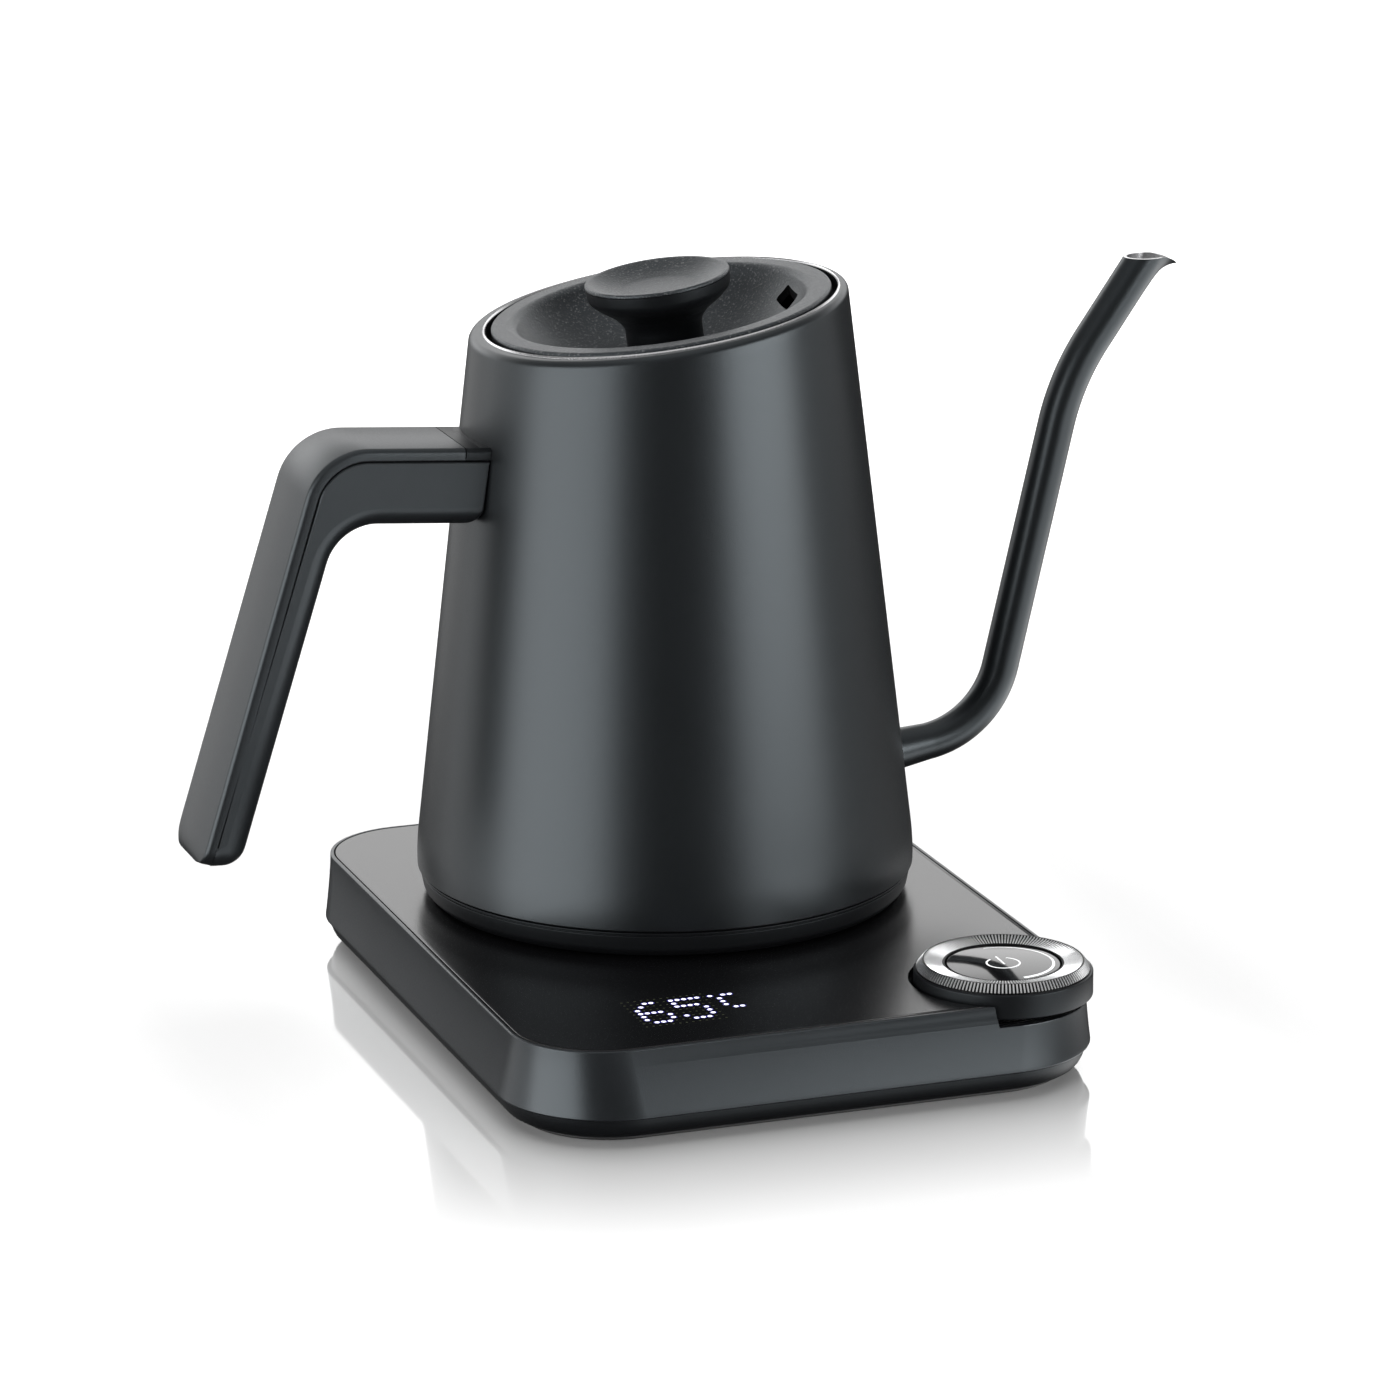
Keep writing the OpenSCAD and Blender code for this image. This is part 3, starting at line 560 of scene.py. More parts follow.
def display_dots():
    """The dot matrix that shines through the deck: lit dots, each with a disc of painted glow round it, and
    the unlit ones round them, painted with a faint glow.
    """
    first = Vector((-40.6, -67.43))
    pitch_x, pitch_y, dot_r, last_faint_column = 1.715, 2.437, 0.62, 11
    sunk_z, glow_pool_r = DECK_Z - 0.1, dot_r + 0.3
    painted_glow_pool = [(0, sunk_z), (glow_pool_r, sunk_z), (glow_pool_r, DECK_Z + 0.004), (0, DECK_Z + 0.008)]
    lit = set()
    for glyph, column in ((DIGIT_SIX, 0), (DIGIT_FIVE, 6), (DEGREE, 12), (LETTER_C, 13)):
        for row, line in enumerate(glyph):
            lit |= {(column + i, row) for i, mark in enumerate(line) if mark == "X"}
    shown = {"lit": [], "painted_glow_pool": [], "unlit": []}
    for column in range(-1, 17):
        for row in range(-1, 8):
            x, y = first.x + pitch_x * column, first.y - pitch_y * row
            on = (column, row) in lit
            if on:
                # painted light: a glowing disc round each lit dot, standing in for the LED's light spreading
                # in the deck
                shown["painted_glow_pool"].append(lathe("painted_glow_pool", painted_glow_pool, (x, y), 16))
            elif column > last_faint_column:
                continue
            z = DECK_Z + (0.03 if on else 0.012)
            r = dot_r if on else dot_r * 0.5
            outline = [(0, sunk_z), (r, sunk_z), (r, DECK_Z + 0.01), (r * 0.6, z), (0, z)]
            shown["lit" if on else "unlit"].append(lathe("dot", outline, (x, y), 12))
    looks = {
        "lit": glow("display_glow", (0.86, 0.86, 1.0), 1.6),
        "painted_glow_pool": glow("display_painted_glow", (0.035, 0.03, 0.2), 0.5),
        # painted light: the unlit dots glow faintly though they are no lamps
        "unlit": glow("display_unlit_painted_glow", (0.03, 0.034, 0.018), 0.2),
    }
    for kind, look in looks.items():
        place_piece(join("display_dots_" + kind, shown[kind]), "base", "display_white", material=look)


# ---------------------------------------------------------------- dial and button
RIBS = 147


def dial_ring():
    """Silver ring: a core darkened as painted shade for the grooves, with ribs over its outer bevel and down
    its inner slope.
    """
    inner, crest_r, edge_r = GLASS_R + 0.4, SKIRT_R - 2.3, SKIRT_R - 0.6
    seat_r, seat_z, foot_z, depth = SKIRT_R - 2.1, DECK_Z + 0.2, SKIRT_TOP_Z + 0.02, 0.3
    slope = [(inner + 0.5, GLASS_TOP_Z + 0.3), (inner + 1.6, GLASS_TOP_Z + 0.42),
             (crest_r - 1.2, CREST_Z - 0.26), (crest_r - 0.4, CREST_Z - 0.04)]
    bevel_side = [(crest_r + 0.1, CREST_Z - 0.04), (crest_r + 0.9, CREST_Z - 0.95),
                  (edge_r - 0.1, CREST_Z - 1.9)]
    core = [(seat_r, seat_z), (seat_r, foot_z), (edge_r, foot_z), (edge_r, CREST_Z - 2.05)]
    core += [(r - depth * 0.8, z - depth * 0.6) for r, z in reversed(bevel_side[1:])]
    core += [(crest_r + 0.02, CREST_Z - 0.12), (crest_r, CREST_Z), (crest_r - 0.36, CREST_Z),
             (crest_r - 0.4, CREST_Z - 0.1)]
    core += [(r, z - depth * 0.6) for r, z in reversed(slope[:-1])]
    core += [(inner + 0.3, GLASS_TOP_Z + 0.3), (inner, GLASS_TOP_Z + 0.1), (inner, seat_z)]
    # the core's dark metal is painted shade for the grooves between the ribs
    grooved = lathe("dial_ring_core", core, DIAL, 256)
    place_piece(grooved, "dial", "dial_metal", "dial_ring", material=M["dial_groove_painted_shade"])
    share = 0.27
    section = [(-share, depth), (-share * 0.8, 0), (share * 0.8, 0), (share, depth)]
    points, faces = [], []
    for k in range(RIBS):
        for side, dip, draw_in in ((slope, 0.7, 0), (bevel_side, 0.9, 0.8)):
            start = len(points)
            for r, z in side:
                for turn, down in section:
                    t = TAU * (k + turn) / RIBS
                    sink = down * dip
                    back = r - sink * draw_in
                    points.append((DIAL.x + back * math.cos(t), DIAL.y + back * math.sin(t), z - sink * 0.7))
            for i in range(len(side) - 1):
                a = start + 4 * i
                faces += [(a + j, a + (j + 1) % 4, a + 4 + (j + 1) % 4, a + 4 + j) for j in range(4)]
            last = start + 4 * (len(side) - 1)
            faces += [(start + 3, start + 2, start + 1, start), (last, last + 1, last + 2, last + 3)]
    place_piece(make("dial_ring_ribs", points, faces, 20), "dial", "dial_metal")


def dial_skirt():
    """Black wall of the dial, with the web that carries it on its bearing."""
    web_z, under_z, hub_z = DECK_Z + 0.1, DECK_Z + 0.1 - 1.4, SKIRT_BOTTOM_Z - 0.5
    bore, hub, inner = 12.1, 14, SKIRT_R - 2
    outline = rounded([
        (bore, hub_z, 0), (hub, hub_z, 0.3), (hub, under_z, 0), (inner, under_z, 0),
        (inner, SKIRT_BOTTOM_Z, 0), (SKIRT_R, SKIRT_BOTTOM_Z, 0.4), (SKIRT_R, SKIRT_TOP_Z, 0.5),
        (inner, SKIRT_TOP_Z, 0), (inner, web_z, 0), (bore, web_z, 0)])
    place_piece(lathe("dial_skirt_wall", outline, DIAL), "dial", "black_plastic", "dial_skirt")


def stroke(path, widths, z):
    """A raised flat line of print along a path, with its own width at each point."""
    low_z, top_z = z - 0.02, z + 0.03
    loops = []
    for i, p in enumerate(path):
        along = unit(path[min(i + 1, len(path) - 1)] - path[max(i - 1, 0)])
        side = Vector((-along.y, along.x)) * widths[i] / 2
        corners = [(p + side, low_z), (p - side, low_z), (p - side, top_z), (p + side, top_z)]
        loops.append([(q.x, q.y, h) for q, h in corners])
    return rings("stroke", loops, caps=(True, True))


def arc_points(r, start, end, steps):
    """Points on a circle round the dial's centre, between two angles in degrees."""
    angles = [math.radians(start + (end - start) * i / steps) for i in range(steps + 1)]
    return [DIAL + r * Vector((math.cos(t), math.sin(t))) for t in angles]


def power_button():
    """Glass centre of the dial, with the power symbol and the tapered arc round it."""
    t, line_w, sweep_steps = GLASS_TOP_Z, 0.46, 80
    outline = rounded([(0, t - 1.5, 0), (GLASS_R, t - 1.5, 0.2), (GLASS_R, t, 0.35), (0, t, 0)])
    place_piece(lathe("power_button_glass", outline, DIAL), "button", "button_glass", "power_button")
    lean = 88
    symbol = arc_points(4.15, lean - 330, lean - 30, 60)
    mark = [stroke(symbol, [line_w] * len(symbol), t)]
    upright = Vector((math.cos(math.radians(lean)), math.sin(math.radians(lean))))
    mark.append(stroke([DIAL + s * upright for s in (-0.9, 2.2, 5.4)], [line_w] * 3, t))
    sweep = arc_points(12.6, 91, -88, sweep_steps)
    widths = [0.16 + 0.95 * (i / sweep_steps) ** 1.5 for i in range(sweep_steps + 1)]
    mark.append(stroke(sweep, widths, t))
    white = glow("print_white", (0.9, 0.91, 0.92), 0.35)
    place_piece(join("power_button_print", mark), "button", "button_glass", material=white)


# ---------------------------------------------------------------- kettle body
def cone_r(z):
    """Outer radius of the kettle: a cone that turns in a little above the seam."""
    turn_in = HEM_CURVE * max(0.0, SEAM_Z + HEM_H - z) ** 2
    return CONE_R - CONE_LEAN * (z - SEAM_Z) - turn_in


LID_FRAME = Matrix.Translation((KETTLE.x, KETTLE.y, RIM_Z)) @ Matrix.Rotation(-RIM_TILT, 4, "Y")
RIM_UP = LID_FRAME.to_3x3() @ Vector((0, 0, 1))
RIM_GUESS, RIM_ROUNDS = 50.0, 30


def rim_point(t, inset=0.0):
    """Where the rim's plane meets the wall in direction t, and that direction in the plane."""
    across = LID_FRAME.to_3x3() @ Vector((math.cos(t), math.sin(t), 0))
    s = RIM_GUESS
    for _ in range(RIM_ROUNDS):
        p = LID_FRAME.translation + across * s
        flat = Vector((p.x - KETTLE.x, p.y - KETTLE.y))
        s += (cone_r(p.z) - inset - flat.length) / across.xy.length
    return LID_FRAME.translation + across * s, across


def on_cone(azimuth, z, inset=0.0):
    """A point of the wall."""
    r = cone_r(z) - inset
    return Vector((KETTLE.x + r * math.cos(azimuth), KETTLE.y + r * math.sin(azimuth), z))


def turned(columns):
    """Loops that run round the kettle, out of columns that run down it."""
    return [list(loop) for loop in zip(*columns)]


def kettle_shell():
    """The coated wall with its hem and slanted rim, the rim's bare lip, and the collar inside it."""
    roll, roll_steps, span_steps = 1.7, 7, 12
    columns = []
    for k in range(KETTLE_SIDES):
        t = TAU * k / KETTLE_SIDES
        edge, across = rim_point(t)
        azimuth = math.atan2(edge.y - KETTLE.y, edge.x - KETTLE.x)
        heights = [SEAM_Z + h for h in (0.35, 1, 2, 3.5, 5, 7, 9, 12)]
        span = edge.z - 4 - heights[-1]
        heights += [heights[-1] + span * i / span_steps for i in range(1, span_steps + 1)]
        column = [on_cone(azimuth, SEAM_Z, 1.4), on_cone(azimuth, SEAM_Z, 0.35)]
        column += [on_cone(azimuth, z) for z in heights]
        down = unit(on_cone(azimuth, edge.z - 10) - edge)
        for i in range(roll_steps + 1):
            a = TAU / 4 * i / roll_steps
            column.append(edge + down * roll * (1 - math.sin(a)) - across * roll * (1 - math.cos(a)))
        lip = LID_FRAME.translation + across * MOUTH_R
        column += [lip + across * 0.8, lip + across * 0.66 + RIM_UP * 0.3, lip + across * 0.36 + RIM_UP * 0.4,
                   lip + across * 0.1 + RIM_UP * 0.2, lip - RIM_UP * 0.2, lip - RIM_UP * COLLAR_DROP,
                   lip - RIM_UP * COLLAR_DROP + across * 0.8, lip - RIM_UP * RIM_STEP + across * 0.8]
        inner, _ = rim_point(t, WALL_T)
        column.append(inner - RIM_UP * RIM_STEP)
        columns.append(column)
    loops = turned(columns)
    bead = len(heights) + 2 + roll_steps + 1
    return [rings("kettle_shell", loops[:bead + 1], smooth_angle=40),
            rings("kettle_lip", loops[bead:bead + 5], smooth_angle=50),
            rings("kettle_collar", loops[bead + 4:], smooth_angle=40)]


def kettle_lining():
    """Bare steel inside, from under the rim to the floor."""
    steps = 10
    columns = []
    for k in range(KETTLE_SIDES):
        t = TAU * k / KETTLE_SIDES
        edge, _ = rim_point(t, WALL_T)
        top = edge - RIM_UP * RIM_STEP
        azimuth = math.atan2(top.y - KETTLE.y, top.x - KETTLE.x)
        column = [top]
        for i in range(1, steps + 1):
            z = top.z + (SEAM_Z + 0.2 - top.z) * i / steps
            column.append(on_cone(azimuth, z, WALL_T))
        column.append(on_cone(azimuth, SEAM_Z, WALL_T + 0.7))
        columns.append(column)
    return rings("kettle_lining", turned(columns), smooth_angle=40)


def kettle_body():
    shell, lip, collar = kettle_shell()
    place_piece(shell, "kettle", "satin_black_coat", "kettle_body")
    place_piece(lip, "kettle", "bare_steel")
    place_piece(collar, "kettle", "satin_black_coat")
    place_piece(kettle_lining(), "kettle", "bare_steel")


def foot_ring():
    """Plastic foot: rounded under, with a fine line just below the seam."""
    r, top, inner = cone_r(SEAM_Z), SEAM_Z - 0.4, 57.5
    line_r, spigot_r, spigot_in, ledge_z = r - 1.05, r - 2, r - 3.4, FOOT_Z + 4.3
    outline = rounded([
        (inner, FOOT_Z, 0.4), (spigot_in, FOOT_Z, 1.6), (r - 1.5, FOOT_Z + 2.0, 2.0),
        (r - 0.75, top - 1.0, 0.2), (line_r, top - 0.9, 0), (line_r, top - 0.7, 0),
        (r - 0.55, top - 0.6, 0.15), (r - 0.45, top, 0.2), (spigot_r, top, 0), (spigot_r, top + 4, 0),
        (spigot_in, top + 4, 0), (spigot_in, ledge_z, 0), (inner, ledge_z, 0)])
    ring = lathe("foot_ring_moulding", outline, KETTLE, KETTLE_SIDES)
    place_piece(ring, "kettle", "black_plastic", "foot_ring")


# ---------------------------------------------------------------- spout
def spout_line():
    """Centreline in the plane through the kettle's axis: (x, z) points from the wall to the mouth."""
    lean = unit(Vector(SPOUT_TIP) - Vector(SPOUT_NECK))
    root, near_tip = 3, (12, 10, 8, 6.5, 5, 4, 3, 2.2, 1.5, 0.9, 0.4, 0)
    line = [Vector(SPOUT_LOW) - root * unit(Vector(SPOUT_KNEE) - Vector(SPOUT_LOW)), Vector(SPOUT_LOW)]
    line += fillet(SPOUT_LOW, SPOUT_KNEE, SPOUT_NECK, SPOUT_KNEE_R, 22)
    line += fillet(SPOUT_KNEE, SPOUT_NECK, SPOUT_TIP, SPOUT_NECK_R, 24)
    line += [Vector(SPOUT_TIP) - lean * back for back in near_tip]
    return line


def spout_loops(shrink):
    """Rings of the tube, turning level towards the mouth, with a pointed beak drawn out at the front."""
    line = spout_line()
    last, sides, weld_w = len(line) - 1, 72, 0.9
    reach, drop, turn_length, beak_length, beak_half = 3.2, 2.6, 12.0, 2.0, 1.0
    loops = []
    for i, c in enumerate(line):
        heading = unit(line[min(i + 1, last)] - line[max(i - 1, 0)])
        back = (line[-1] - c).length
        level = max(0.0, 1 - back / turn_length) ** 1.5 if c.y > SPOUT_NECK[1] else 0.0
        share = math.exp(-back / beak_length) if level else 0.0
        weld = weld_w * max(0.0, 1 - i / 2) if shrink == 0 else 0.0
        r = SPOUT_R - shrink + weld
        loop = []
        for k in range(sides):
            a = TAU * k / sides
            out = r * math.cos(a)
            p = Vector((c.x + out * heading.y, r * math.sin(a), c.y - out * heading.x))
            slide = (c.y + (SPOUT_TOP_Z - SPOUT_TIP[1]) - p.z) / heading.y * level
            p += Vector((heading.x, 0, heading.y)) * slide
            if i == 0:
                p.x = math.sqrt(cone_r(p.z) ** 2 - p.y ** 2) - 0.1
            pull = share * max(0.0, 1 - min(a, TAU - a) / beak_half) ** 1.7
            p += Vector((pull * reach, 0, -pull * drop))
            loop.append(Vector((KETTLE.x + p.x, KETTLE.y + p.y, p.z)))
        loops.append(loop)
    return loops


def spout():
    """Coated tube, with a bare lining that runs out to its cut edge."""
    outer, inner = spout_loops(0), spout_loops(SPOUT_T)
    place_piece(rings("spout_tube_coated", outer), "kettle", "satin_black_coat", "spout_tube")
    place_piece(rings("spout_lining", inner + [outer[-1]]), "kettle", "bare_steel")


# ---------------------------------------------------------------- handle
def outer_path(t):
    """The L's outer face moved inwards by t, with its bend concentric."""
    a, b, c = Vector(ARM_END), Vector(ARM_CORNER), Vector(LEG_END)
    u, v = unit(b - a), unit(c - b)
    left_u, left_v = Vector((-u.y, u.x)), Vector((-v.y, v.x))
    half = (-u).angle(v) / 2
    a2, c2 = a + left_u * t, c + left_v * t
    b2 = b + unit(v - u) * (t / math.sin(half))
    return [a2] + fillet(a2, b2, c2, OUTER_BEND_R - t, 16) + [c2]


def cap_strip(name, outer, inner, half_widths):
    """A strip with softened outer edges between two (x, z) paths, of changing half width."""
    edge, turns = 1.3, (0, 0.5, 1.05, TAU / 4)
    loops = []
    for p, q, w in zip(outer, inner, half_widths):
        depth = (q - p).length
        down = unit(q - p)
        section = [(-w, depth - 0.25), (-w + 0.2, depth), (w - 0.2, depth), (w, depth - 0.25)]
        section += [(w - edge * (1 - math.cos(a)), edge * (1 - math.sin(a))) for a in turns]
        section += [(-w + edge * (1 - math.cos(a)), edge * (1 - math.sin(a))) for a in reversed(turns)]
        loops.append([(KETTLE.x + (p + down * d).x, KETTLE.y + y, (p + down * d).y) for y, d in section])
    return rings(name, loops, caps=(True, True))


def handle_cover():
    """Cover strip along the outer face, with a rounded lower end."""
    corner, straight = 5.5, 20
    finer = [s / 8 for s in range(1, 8)] + [0.94, 0.96, 0.972, 0.983, 0.991, 0.997, 1]
    outer, inner = outer_path(0), outer_path(COVER_T)
    along_outer, along_inner = [outer[0]], [inner[0]]
    for i in range(1, len(outer)):
        shares = finer if (outer[i] - outer[i - 1]).length > straight else [1]
        along_outer += [outer[i - 1].lerp(outer[i], s) for s in shares]
        along_inner += [inner[i - 1].lerp(inner[i], s) for s in shares]
    widths = []
    for p in along_outer:
        left = min(corner, (along_outer[-1] - p).length)
        widths.append(HANDLE_W / 2 - corner + math.sqrt(max(0.0, corner ** 2 - (corner - left) ** 2)))
    widths[-1] = HANDLE_W / 2 - corner
    cover = cap_strip("handle_cover_strip", along_outer, along_inner, widths)
    place_piece(cover, "kettle", "handle_plastic", "handle_cover")


def clear_of_body(piece, gap):
    """Cuts the kettle's cone, grown by gap, out of a piece."""
    top = 170
    outline = [(0, SEAM_Z), (cone_r(SEAM_Z) + gap, SEAM_Z)]
    outline += [(cone_r(SEAM_Z + h) + gap, SEAM_Z + h) for h in (2, 4, 6, 8, 10, top)]
    return boolean(piece, lathe("cutter", outline + [(0, SEAM_Z + top)], KETTLE, KETTLE_SIDES))


def handle_bracket():
    """The short strip between the cover and the wall, the block under it and the tongue inside the arm."""
    weld_gap, at_kettle = 0.02, Matrix.Translation((KETTLE.x, KETTLE.y, 0))
    slope = unit(Vector(ARM_END) - Vector(ARM_CORNER))
    top, bottom = outer_path(0)[0], outer_path(COVER_T)[0]
    stations = (0.25, 4, 8, 14)
    strip = cap_strip("handle_bracket_strip", [top + slope * s for s in stations],
                      [bottom + slope * s for s in stations], [HANDLE_W / 2] * len(stations))
    tongue = box_solid("tongue", (-82, -8, 138), (-50, 8, 143), at_kettle, 1.0)
    block = box_solid("block", (-56.6, -8, 139), (-48.6, 8, 147), at_kettle)
    parts = [clear_of_body(part, weld_gap) for part in (strip, tongue, block)]
    place_piece(join("handle_bracket_piece", parts), "kettle", "black_plastic", "handle_bracket")


def grip_outline(inset, groove_inset):
    """Side outline of the grip, drawn in by inset along its inner side and by groove_inset at the cover."""
    path = outer_path(COVER_T + GROOVE + groove_inset)
    slope = unit(Vector(ARM_END) - Vector(ARM_CORNER))
    end = path[-1]
    leg = unit(Vector(LEG_INNER) - Vector(CROOK))
    arm = unit(Vector(ARM_ROOT) - Vector(CROOK))
    leg_side, arm_side = Vector((leg.y, -leg.x)), Vector((-arm.y, arm.x))
    toe_side = unit(Vector(LEG_INNER) - end)
    toe_up = Vector((toe_side.y, -toe_side.x))
    if toe_up.y < 0:
        toe_up = -toe_up
    if leg_side.x > 0:
        leg_side = -leg_side
    toe_low = end + toe_up * inset
    heel = Vector(LEG_INNER) + toe_up * inset + leg_side * inset
    half = leg.angle(arm) / 2
    bend = Vector(CROOK) - unit(leg + arm) * (inset / math.sin(half))
    root = Vector(ARM_ROOT) + arm_side * inset
    wall_x = -52.35 - 0.1 * inset
    top_x = wall_x + 1.9
    root_corner = bend + (root - bend) * ((wall_x - bend.x) / (root.x - bend.x))
    end_top = path[0] + slope * ((top_x - path[0].x) / slope.x)
    points = [end_top] + path[:-1] + [toe_low]
    points += fillet(toe_low, heel, bend, TOE_R + 1.4 - inset, 8)
    points += fillet(heel, bend, root_corner, INNER_BEND_R + inset, 14)
    points += fillet(bend, root_corner, end_top, max(0.4, 4.6 - inset), 8)
    return points


def handle_grip():
    """Grip of the L, with its inner edges well rounded and a fine edge along the groove."""
    round_r, fine, half, steps, wall_gap = 5.0, 0.35, HANDLE_W / 2, 9, 0.06
    layers = []
    for i in range(steps + 1):
        a = TAU / 4 * i / steps
        inset, y = round_r * (1 - math.sin(a)), half - round_r * (1 - math.cos(a))
        layers.append((inset, max(0.0, fine - (half - y)), y))
    layers = sorted(layers, key=lambda layer: -layer[2])
    layers += [(inset, groove, -y) for inset, groove, y in reversed(layers)]
    loops = []
    for inset, groove, y in layers:
        loops.append([(KETTLE.x + p.x, KETTLE.y + y, p.y) for p in grip_outline(inset, groove)])
    grip = rings("handle_grip_moulding", loops, caps=(True, True))
    place_piece(clear_of_body(grip, wall_gap), "kettle", "handle_plastic", "handle_grip")


# ---------------------------------------------------------------- lid
LID_TOP = LID_FRAME @ Matrix.Translation((0, 0, LID_PROUD))
DISH_CURVE = 0.833


def dish_h(r):
    """Height of the dish at radius r: steep near its edge, level at the floor."""
    return -DISH_DEPTH * (1 - ((r - DISH_FLOOR_R) / (DISH_EDGE_R - DISH_FLOOR_R)) ** 2) ** DISH_CURVE


def lid_dish():
    """Grained top of the stopper: flat margin, deep dish and a steam vent near the spout, whose walls are
    darkened as painted shade.
    """
    wall, under_h, cup_r, skirt_h, bolt_r, steps = 1.8, -2, 41.8, -6, 2.1, 24
    corner = fillet((LID_R, -3), (LID_R, 0), (0, 0), 0.9, 5)
    side = fillet((LID_R, 0), (DISH_EDGE_R, 0), (DISH_SIDE_R, dish_h(DISH_SIDE_R)), 3, 8)
    radii = [DISH_SIDE_R - (DISH_SIDE_R - DISH_FLOOR_R) * i / steps for i in range(steps + 1)]
    top = [(p.x, p.y) for p in corner + side] + [(r, dish_h(r)) for r in radii] + [(bolt_r, -DISH_DEPTH)]
    under = [(bolt_r, -DISH_DEPTH - wall)] + [(r + 0.6, dish_h(r) - wall) for r in reversed(radii)]
    under += [(DISH_EDGE_R + 0.6, under_h), (cup_r, under_h), (cup_r, skirt_h), (LID_R, skirt_h)]
    dish = lathe("lid_dish_moulding", top + under, segments=256, place=LID_TOP)
    opening = rounded([(31.8, -4.9, 0.6), (35.1, -6.2, 0.9), (36.0, 3.6, 0.9), (32.6, 5.2, 0.6)])
    levels = [[LID_TOP @ Vector((p.x, p.y, h)) for p in opening] for h in (-13, 3)]
    vent = rings("vent", levels, caps=(True, True))
    for piece in (dish, vent):
        piece.data.materials.append(M["grained_charcoal"])
        piece.data.materials.append(M["vent_painted_shade"])
    # the vent's walls take the second finish, painted shade that darkens the hole
    for face in vent.data.polygons:
        face.material_index = 1
    boolean(dish, vent)
    even(dish)
    place_piece(dish, "lid", "grained_charcoal", "lid_dish", keep_look=True)


def lid_inner_cup():
    """Steel cup under the dish, with a boss for the bolt and five steam holes towards the spout."""
    cup_r, boss_r, bolt_r, wall = 41.7, 6, 2.1, 1.5
    floor_h, top_h, boss_h = -22, -2.1, -DISH_DEPTH - 1.8
    outline = rounded([
        (bolt_r, floor_h, 0), (cup_r, floor_h, 1.2), (cup_r, top_h, 0.2), (cup_r - wall, top_h, 0.2),
        (cup_r - wall, floor_h + wall, 0.6), (boss_r, floor_h + wall, 0.4), (boss_r, boss_h, 0),
        (bolt_r, boss_h, 0)])
    cup = lathe("lid_cup_shell", outline, place=LID_TOP)
    row_r, hole = 32, [(0, -25), (2, -25), (2, -18), (0, -18)]
    for degrees in range(-40, 41, 20):
        t = math.radians(degrees)
        spot = LID_TOP @ Matrix.Translation((row_r * math.cos(t), row_r * math.sin(t), 0))
        boolean(cup, lathe("hole", hole, segments=32, place=spot))
    place_piece(cup, "lid", "bare_steel", "lid_inner_cup")


def lid_seal():
    """Silicone ring with two soft lips."""
    outer, inner, lip = MOUTH_R - 0.3, 41.75, MOUTH_R - 2
    outline = rounded([
        (inner, -13, 0.2), (outer, -13, 0.5), (outer, -11.9, 0.5), (lip, -11.8, 0.2), (lip, -10.7, 0.2),
        (outer, -10.6, 0.5), (outer, -9.5, 0.5), (inner, -9.5, 0.2)])
    place_piece(lathe("lid_seal_ring", outline, place=LID_TOP), "lid", "seal_silicone", "lid_seal")


def lid_knob():
    """Mushroom stem, and the cap's underside."""
    bolt_r, stem, seat_r, seat_h, edge_h = 1.95, 9.9, KNOB_R - 1.2, 3.4, KNOB_H - 1.02
    outline = open_path([
        (bolt_r, -DISH_DEPTH, 0), (stem, -DISH_DEPTH, 0), (stem, -4.6, 4), (12.2, -1.7, 5), (16.2, 1.2, 6),
        (18.4, 3.3, 2.5), (KNOB_R - 0.08, KNOB_H - 1.1, 0), (KNOB_R - 0.35, edge_h, 0),
        (seat_r, edge_h, 0), (seat_r, seat_h, 0), (bolt_r, seat_h, 0)], 8)
    place_piece(lathe("lid_knob_stem", outline, place=LID_TOP), "lid", "black_plastic", "lid_knob")


def knob_cap():
    """Grained cap: a rounded rim round a shallow hollow with a softly edged floor."""
    depths = [(17.4, 0.22), (16.2, 0.75), (14.6, 1.45), (13, 2.05), (11.6, 2.45), (10.6, 2.65),
              (9.9, 2.85), (8.6, 2.98), (5, 3.03), (0, 3.05)]
    spigot_r, under_h, edge_h = KNOB_R - 1.3, 3.5, KNOB_H - 0.95
    edge = rounded([(0, under_h, 0), (spigot_r, under_h, 0), (spigot_r, edge_h, 0),
                    (KNOB_R, edge_h, 0.12), (KNOB_R, KNOB_H, 0.55), (17.6, KNOB_H - 0.14, 0.3)])
    outline = [(p.x, p.y) for p in edge] + [(r, KNOB_H - down) for r, down in depths]
    place_piece(lathe("knob_cap_disc", outline, place=LID_TOP), "lid", "grained_charcoal", "knob_cap")


# ---------------------------------------------------------------- studio
CAMERA_AT = (-494.6, -1406.7, 496.8)
CAMERA_YAW, CAMERA_PITCH, CAMERA_ROLL = [math.radians(d) for d in (19.432, 15.588, -0.327)]
CAMERA_LENS = 155.37


def camera():
    """The viewing angle: a long lens, turned right and down, and level but for a third of a degree."""
    data = bpy.data.cameras.new("camera")
    data.lens = CAMERA_LENS
    data.sensor_width = 36
    data.clip_end = 50
    obj = bpy.data.objects.new("camera", data)
    bpy.context.scene.collection.objects.link(obj)
    turn = Matrix.Rotation(-CAMERA_YAW, 4, "Z") @ Matrix.Rotation(TAU / 4 - CAMERA_PITCH, 4, "X")
    turn = turn @ Matrix.Rotation(CAMERA_ROLL, 4, "Z")
    obj.matrix_world = Matrix.Translation(Vector(CAMERA_AT) * MM) @ turn
    bpy.context.scene.camera = obj


LIGHTS_AIM = Vector((0, 0, 0.1))


def softbox(name, azimuth, distance, height, size, watts):
    """A large area light that faces the object. Azimuth 0 is the front, 90 the right; sizes in metres."""
    data = bpy.data.lights.new(name, "AREA")
    data.shape = "RECTANGLE"
    data.size, data.size_y = size
    data.energy = watts
    obj = bpy.data.objects.new(name, data)
    bpy.context.scene.collection.objects.link(obj)
    t = math.radians(azimuth)
    at = Vector((math.sin(t) * distance, -math.cos(t) * distance, height))
    obj.location = at
    obj.rotation_euler = (LIGHTS_AIM - at).to_track_quat("-Z", "Y").to_euler()
    obj.visible_camera = False
    return obj


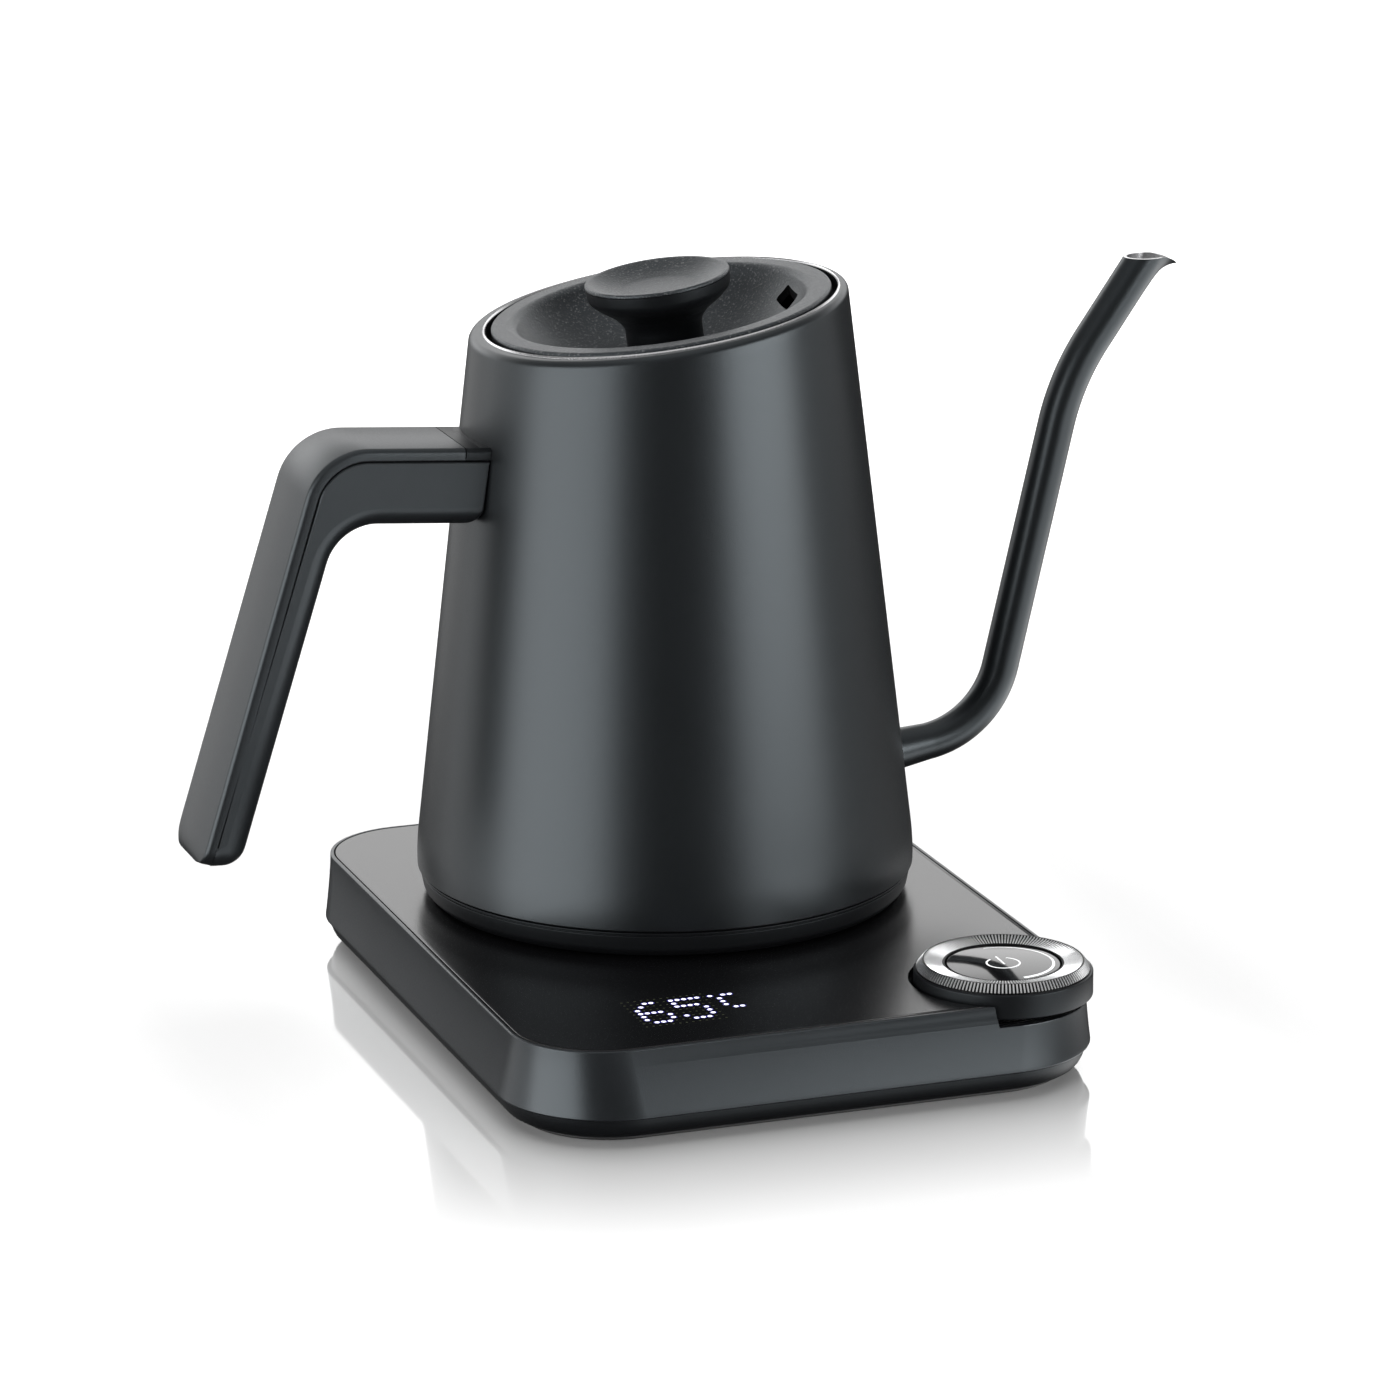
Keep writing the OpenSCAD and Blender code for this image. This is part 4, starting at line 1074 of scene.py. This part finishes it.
def studio():
    softbox("soft_left", -72, 1.5, 0.08, (1.5, 1.35), 31)
    softbox("soft_right", 40, 1.7, 0.3, (1.4, 0.7), 24)
    softbox("soft_side", 92, 1.7, 0.3, (1.2, 0.7), 2)
    softbox("soft_left_rear", -118, 1.6, 0.08, (1.4, 1.3), 7)
    softbox("soft_back_left", -156, 1.6, 0.3, (1.1, 1.2), 3.2)
    softbox("soft_top", 180, 0.6, 2.0, (2.4, 2.4), 45).visible_glossy = False


def product(tree, a, b):
    return add(tree, "ShaderNodeMath", {0: a, 1: b}, operation="MULTIPLY").outputs[0]


def total(tree, a, b):
    return add(tree, "ShaderNodeMath", {0: a, 1: b}, operation="ADD").outputs[0]


def along(tree, direction, axis):
    """How far a direction points along a fixed axis of the room."""
    node = add(tree, "ShaderNodeVectorMath", {0: direction}, operation="DOT_PRODUCT")
    node.inputs[1].default_value = axis
    return node.outputs["Value"]


def world():
    """The studio round the object: a panel behind it, faint light overhead and a pale floor at the right."""
    w = bpy.data.worlds.new("studio")
    bpy.context.scene.world = w
    w.use_nodes = True
    tree = w.node_tree
    direction = add(tree, "ShaderNodeTexCoord").outputs["Generated"]
    height = add(tree, "ShaderNodeSeparateXYZ", {"Vector": direction}).outputs["Z"]
    behind = along(tree, direction, (math.sin(CAMERA_YAW), math.cos(CAMERA_YAW), 0))
    right = along(tree, direction, (math.cos(CAMERA_YAW), -math.sin(CAMERA_YAW), 0))
    panel_band = product(tree, ramp(tree, height, 0, 1, 0.06, 0.2), ramp(tree, height, 1, 0, 0.4, 0.65))
    panel = product(tree, ramp(tree, behind, 0, 1.9, 0.4, 0.72), panel_band)
    overhead = total(tree, ramp(tree, height, 0.03, 0.25, 0.1, 0.5), ramp(tree, height, 0, 0.55, 0.7, 0.92))
    side = product(tree, ramp(tree, right, 0.2, 4.4, 0.3, 0.7), ramp(tree, behind, 1, 0.5, 0.3, 0.8))
    low_band = product(tree, ramp(tree, height, 1, 0, -0.42, -0.25), ramp(tree, height, 0, 1, -0.74, -0.52))
    below = product(tree, side, low_band)
    background = tree.nodes["Background"]
    background.inputs["Color"].default_value = (1, 1, 1, 1)
    tree.links.new(total(tree, panel, total(tree, overhead, below)), background.inputs["Strength"])


def floor():
    """Plain white floor that mirrors the base where it meets it, and is matt further out, where painted light
    makes it glow brighter the further it is from the base.
    """
    half_side, mirror_fade = 6000, 60
    corners = [(sx * half_side, sy * half_side, 0) for sx, sy in ((-1, -1), (1, -1), (1, 1), (-1, 1))]
    obj = make("floor", corners, [(0, 1, 2, 3)])
    material, tree, bsdf = shader_nodes("floor_white")
    bsdf.inputs["Base Color"].default_value = (0.6, 0.6, 0.6, 1)
    bsdf.inputs["Roughness"].default_value = 0.8
    bsdf.inputs["Specular IOR Level"].default_value = 0.0
    where = add(tree, "ShaderNodeTexCoord")
    split = add(tree, "ShaderNodeSeparateXYZ", {"Vector": where.outputs["Object"]})
    squares = []
    for axis, half in (("X", BASE_W / 2), ("Y", BASE_D / 2)):
        side = add(tree, "ShaderNodeMath", {0: split.outputs[axis]}, operation="ABSOLUTE")
        past = add(tree, "ShaderNodeMath", {0: side.outputs[0]}, operation="SUBTRACT")
        past.inputs[1].default_value = (half - CORNER_R) * MM
        clipped = add(tree, "ShaderNodeMath", {0: past.outputs[0]}, operation="MAXIMUM")
        clipped.inputs[1].default_value = 0
        squares.append(product(tree, clipped.outputs[0], clipped.outputs[0]))
    distance = add(tree, "ShaderNodeMath", {0: total(tree, *squares)}, operation="SQRT").outputs[0]
    # painted light: the floor glows, faintly by the base and more strongly further out, washing out shading
    # and the lamps' falloff
    bsdf.inputs["Emission Color"].default_value = (1, 1, 1, 1)
    tree.links.new(ramp(tree, distance, 0.1, 1.0, 0.04, 0.9), bsdf.inputs["Emission Strength"])
    share = ramp(tree, distance, 0.48, 0.0, CORNER_R * MM, (CORNER_R + mirror_fade) * MM)
    mirror = add(tree, "ShaderNodeBsdfGlossy", Roughness=0.06)
    mix = add(tree, "ShaderNodeMixShader", {"Fac": share, 1: bsdf.outputs[0], 2: mirror.outputs[0]})
    tree.links.new(mix.outputs[0], tree.nodes["Material Output"].inputs["Surface"])
    obj.data.materials.append(material)
    obj.visible_glossy = False


camera()
studio()
world()
floor()

base_band()
deck_plate()
bottom_tray()
foot_strip()
cable_gland()
base_connector()
display_dots()

dial_ring()
dial_skirt()
power_button()

kettle_body()
foot_ring()
spout()
handle_cover()
handle_bracket()
handle_grip()

lid_dish()
lid_inner_cup()
lid_seal()
lid_knob()
knob_cap()

bpy.context.scene.view_settings.view_transform = "Standard"
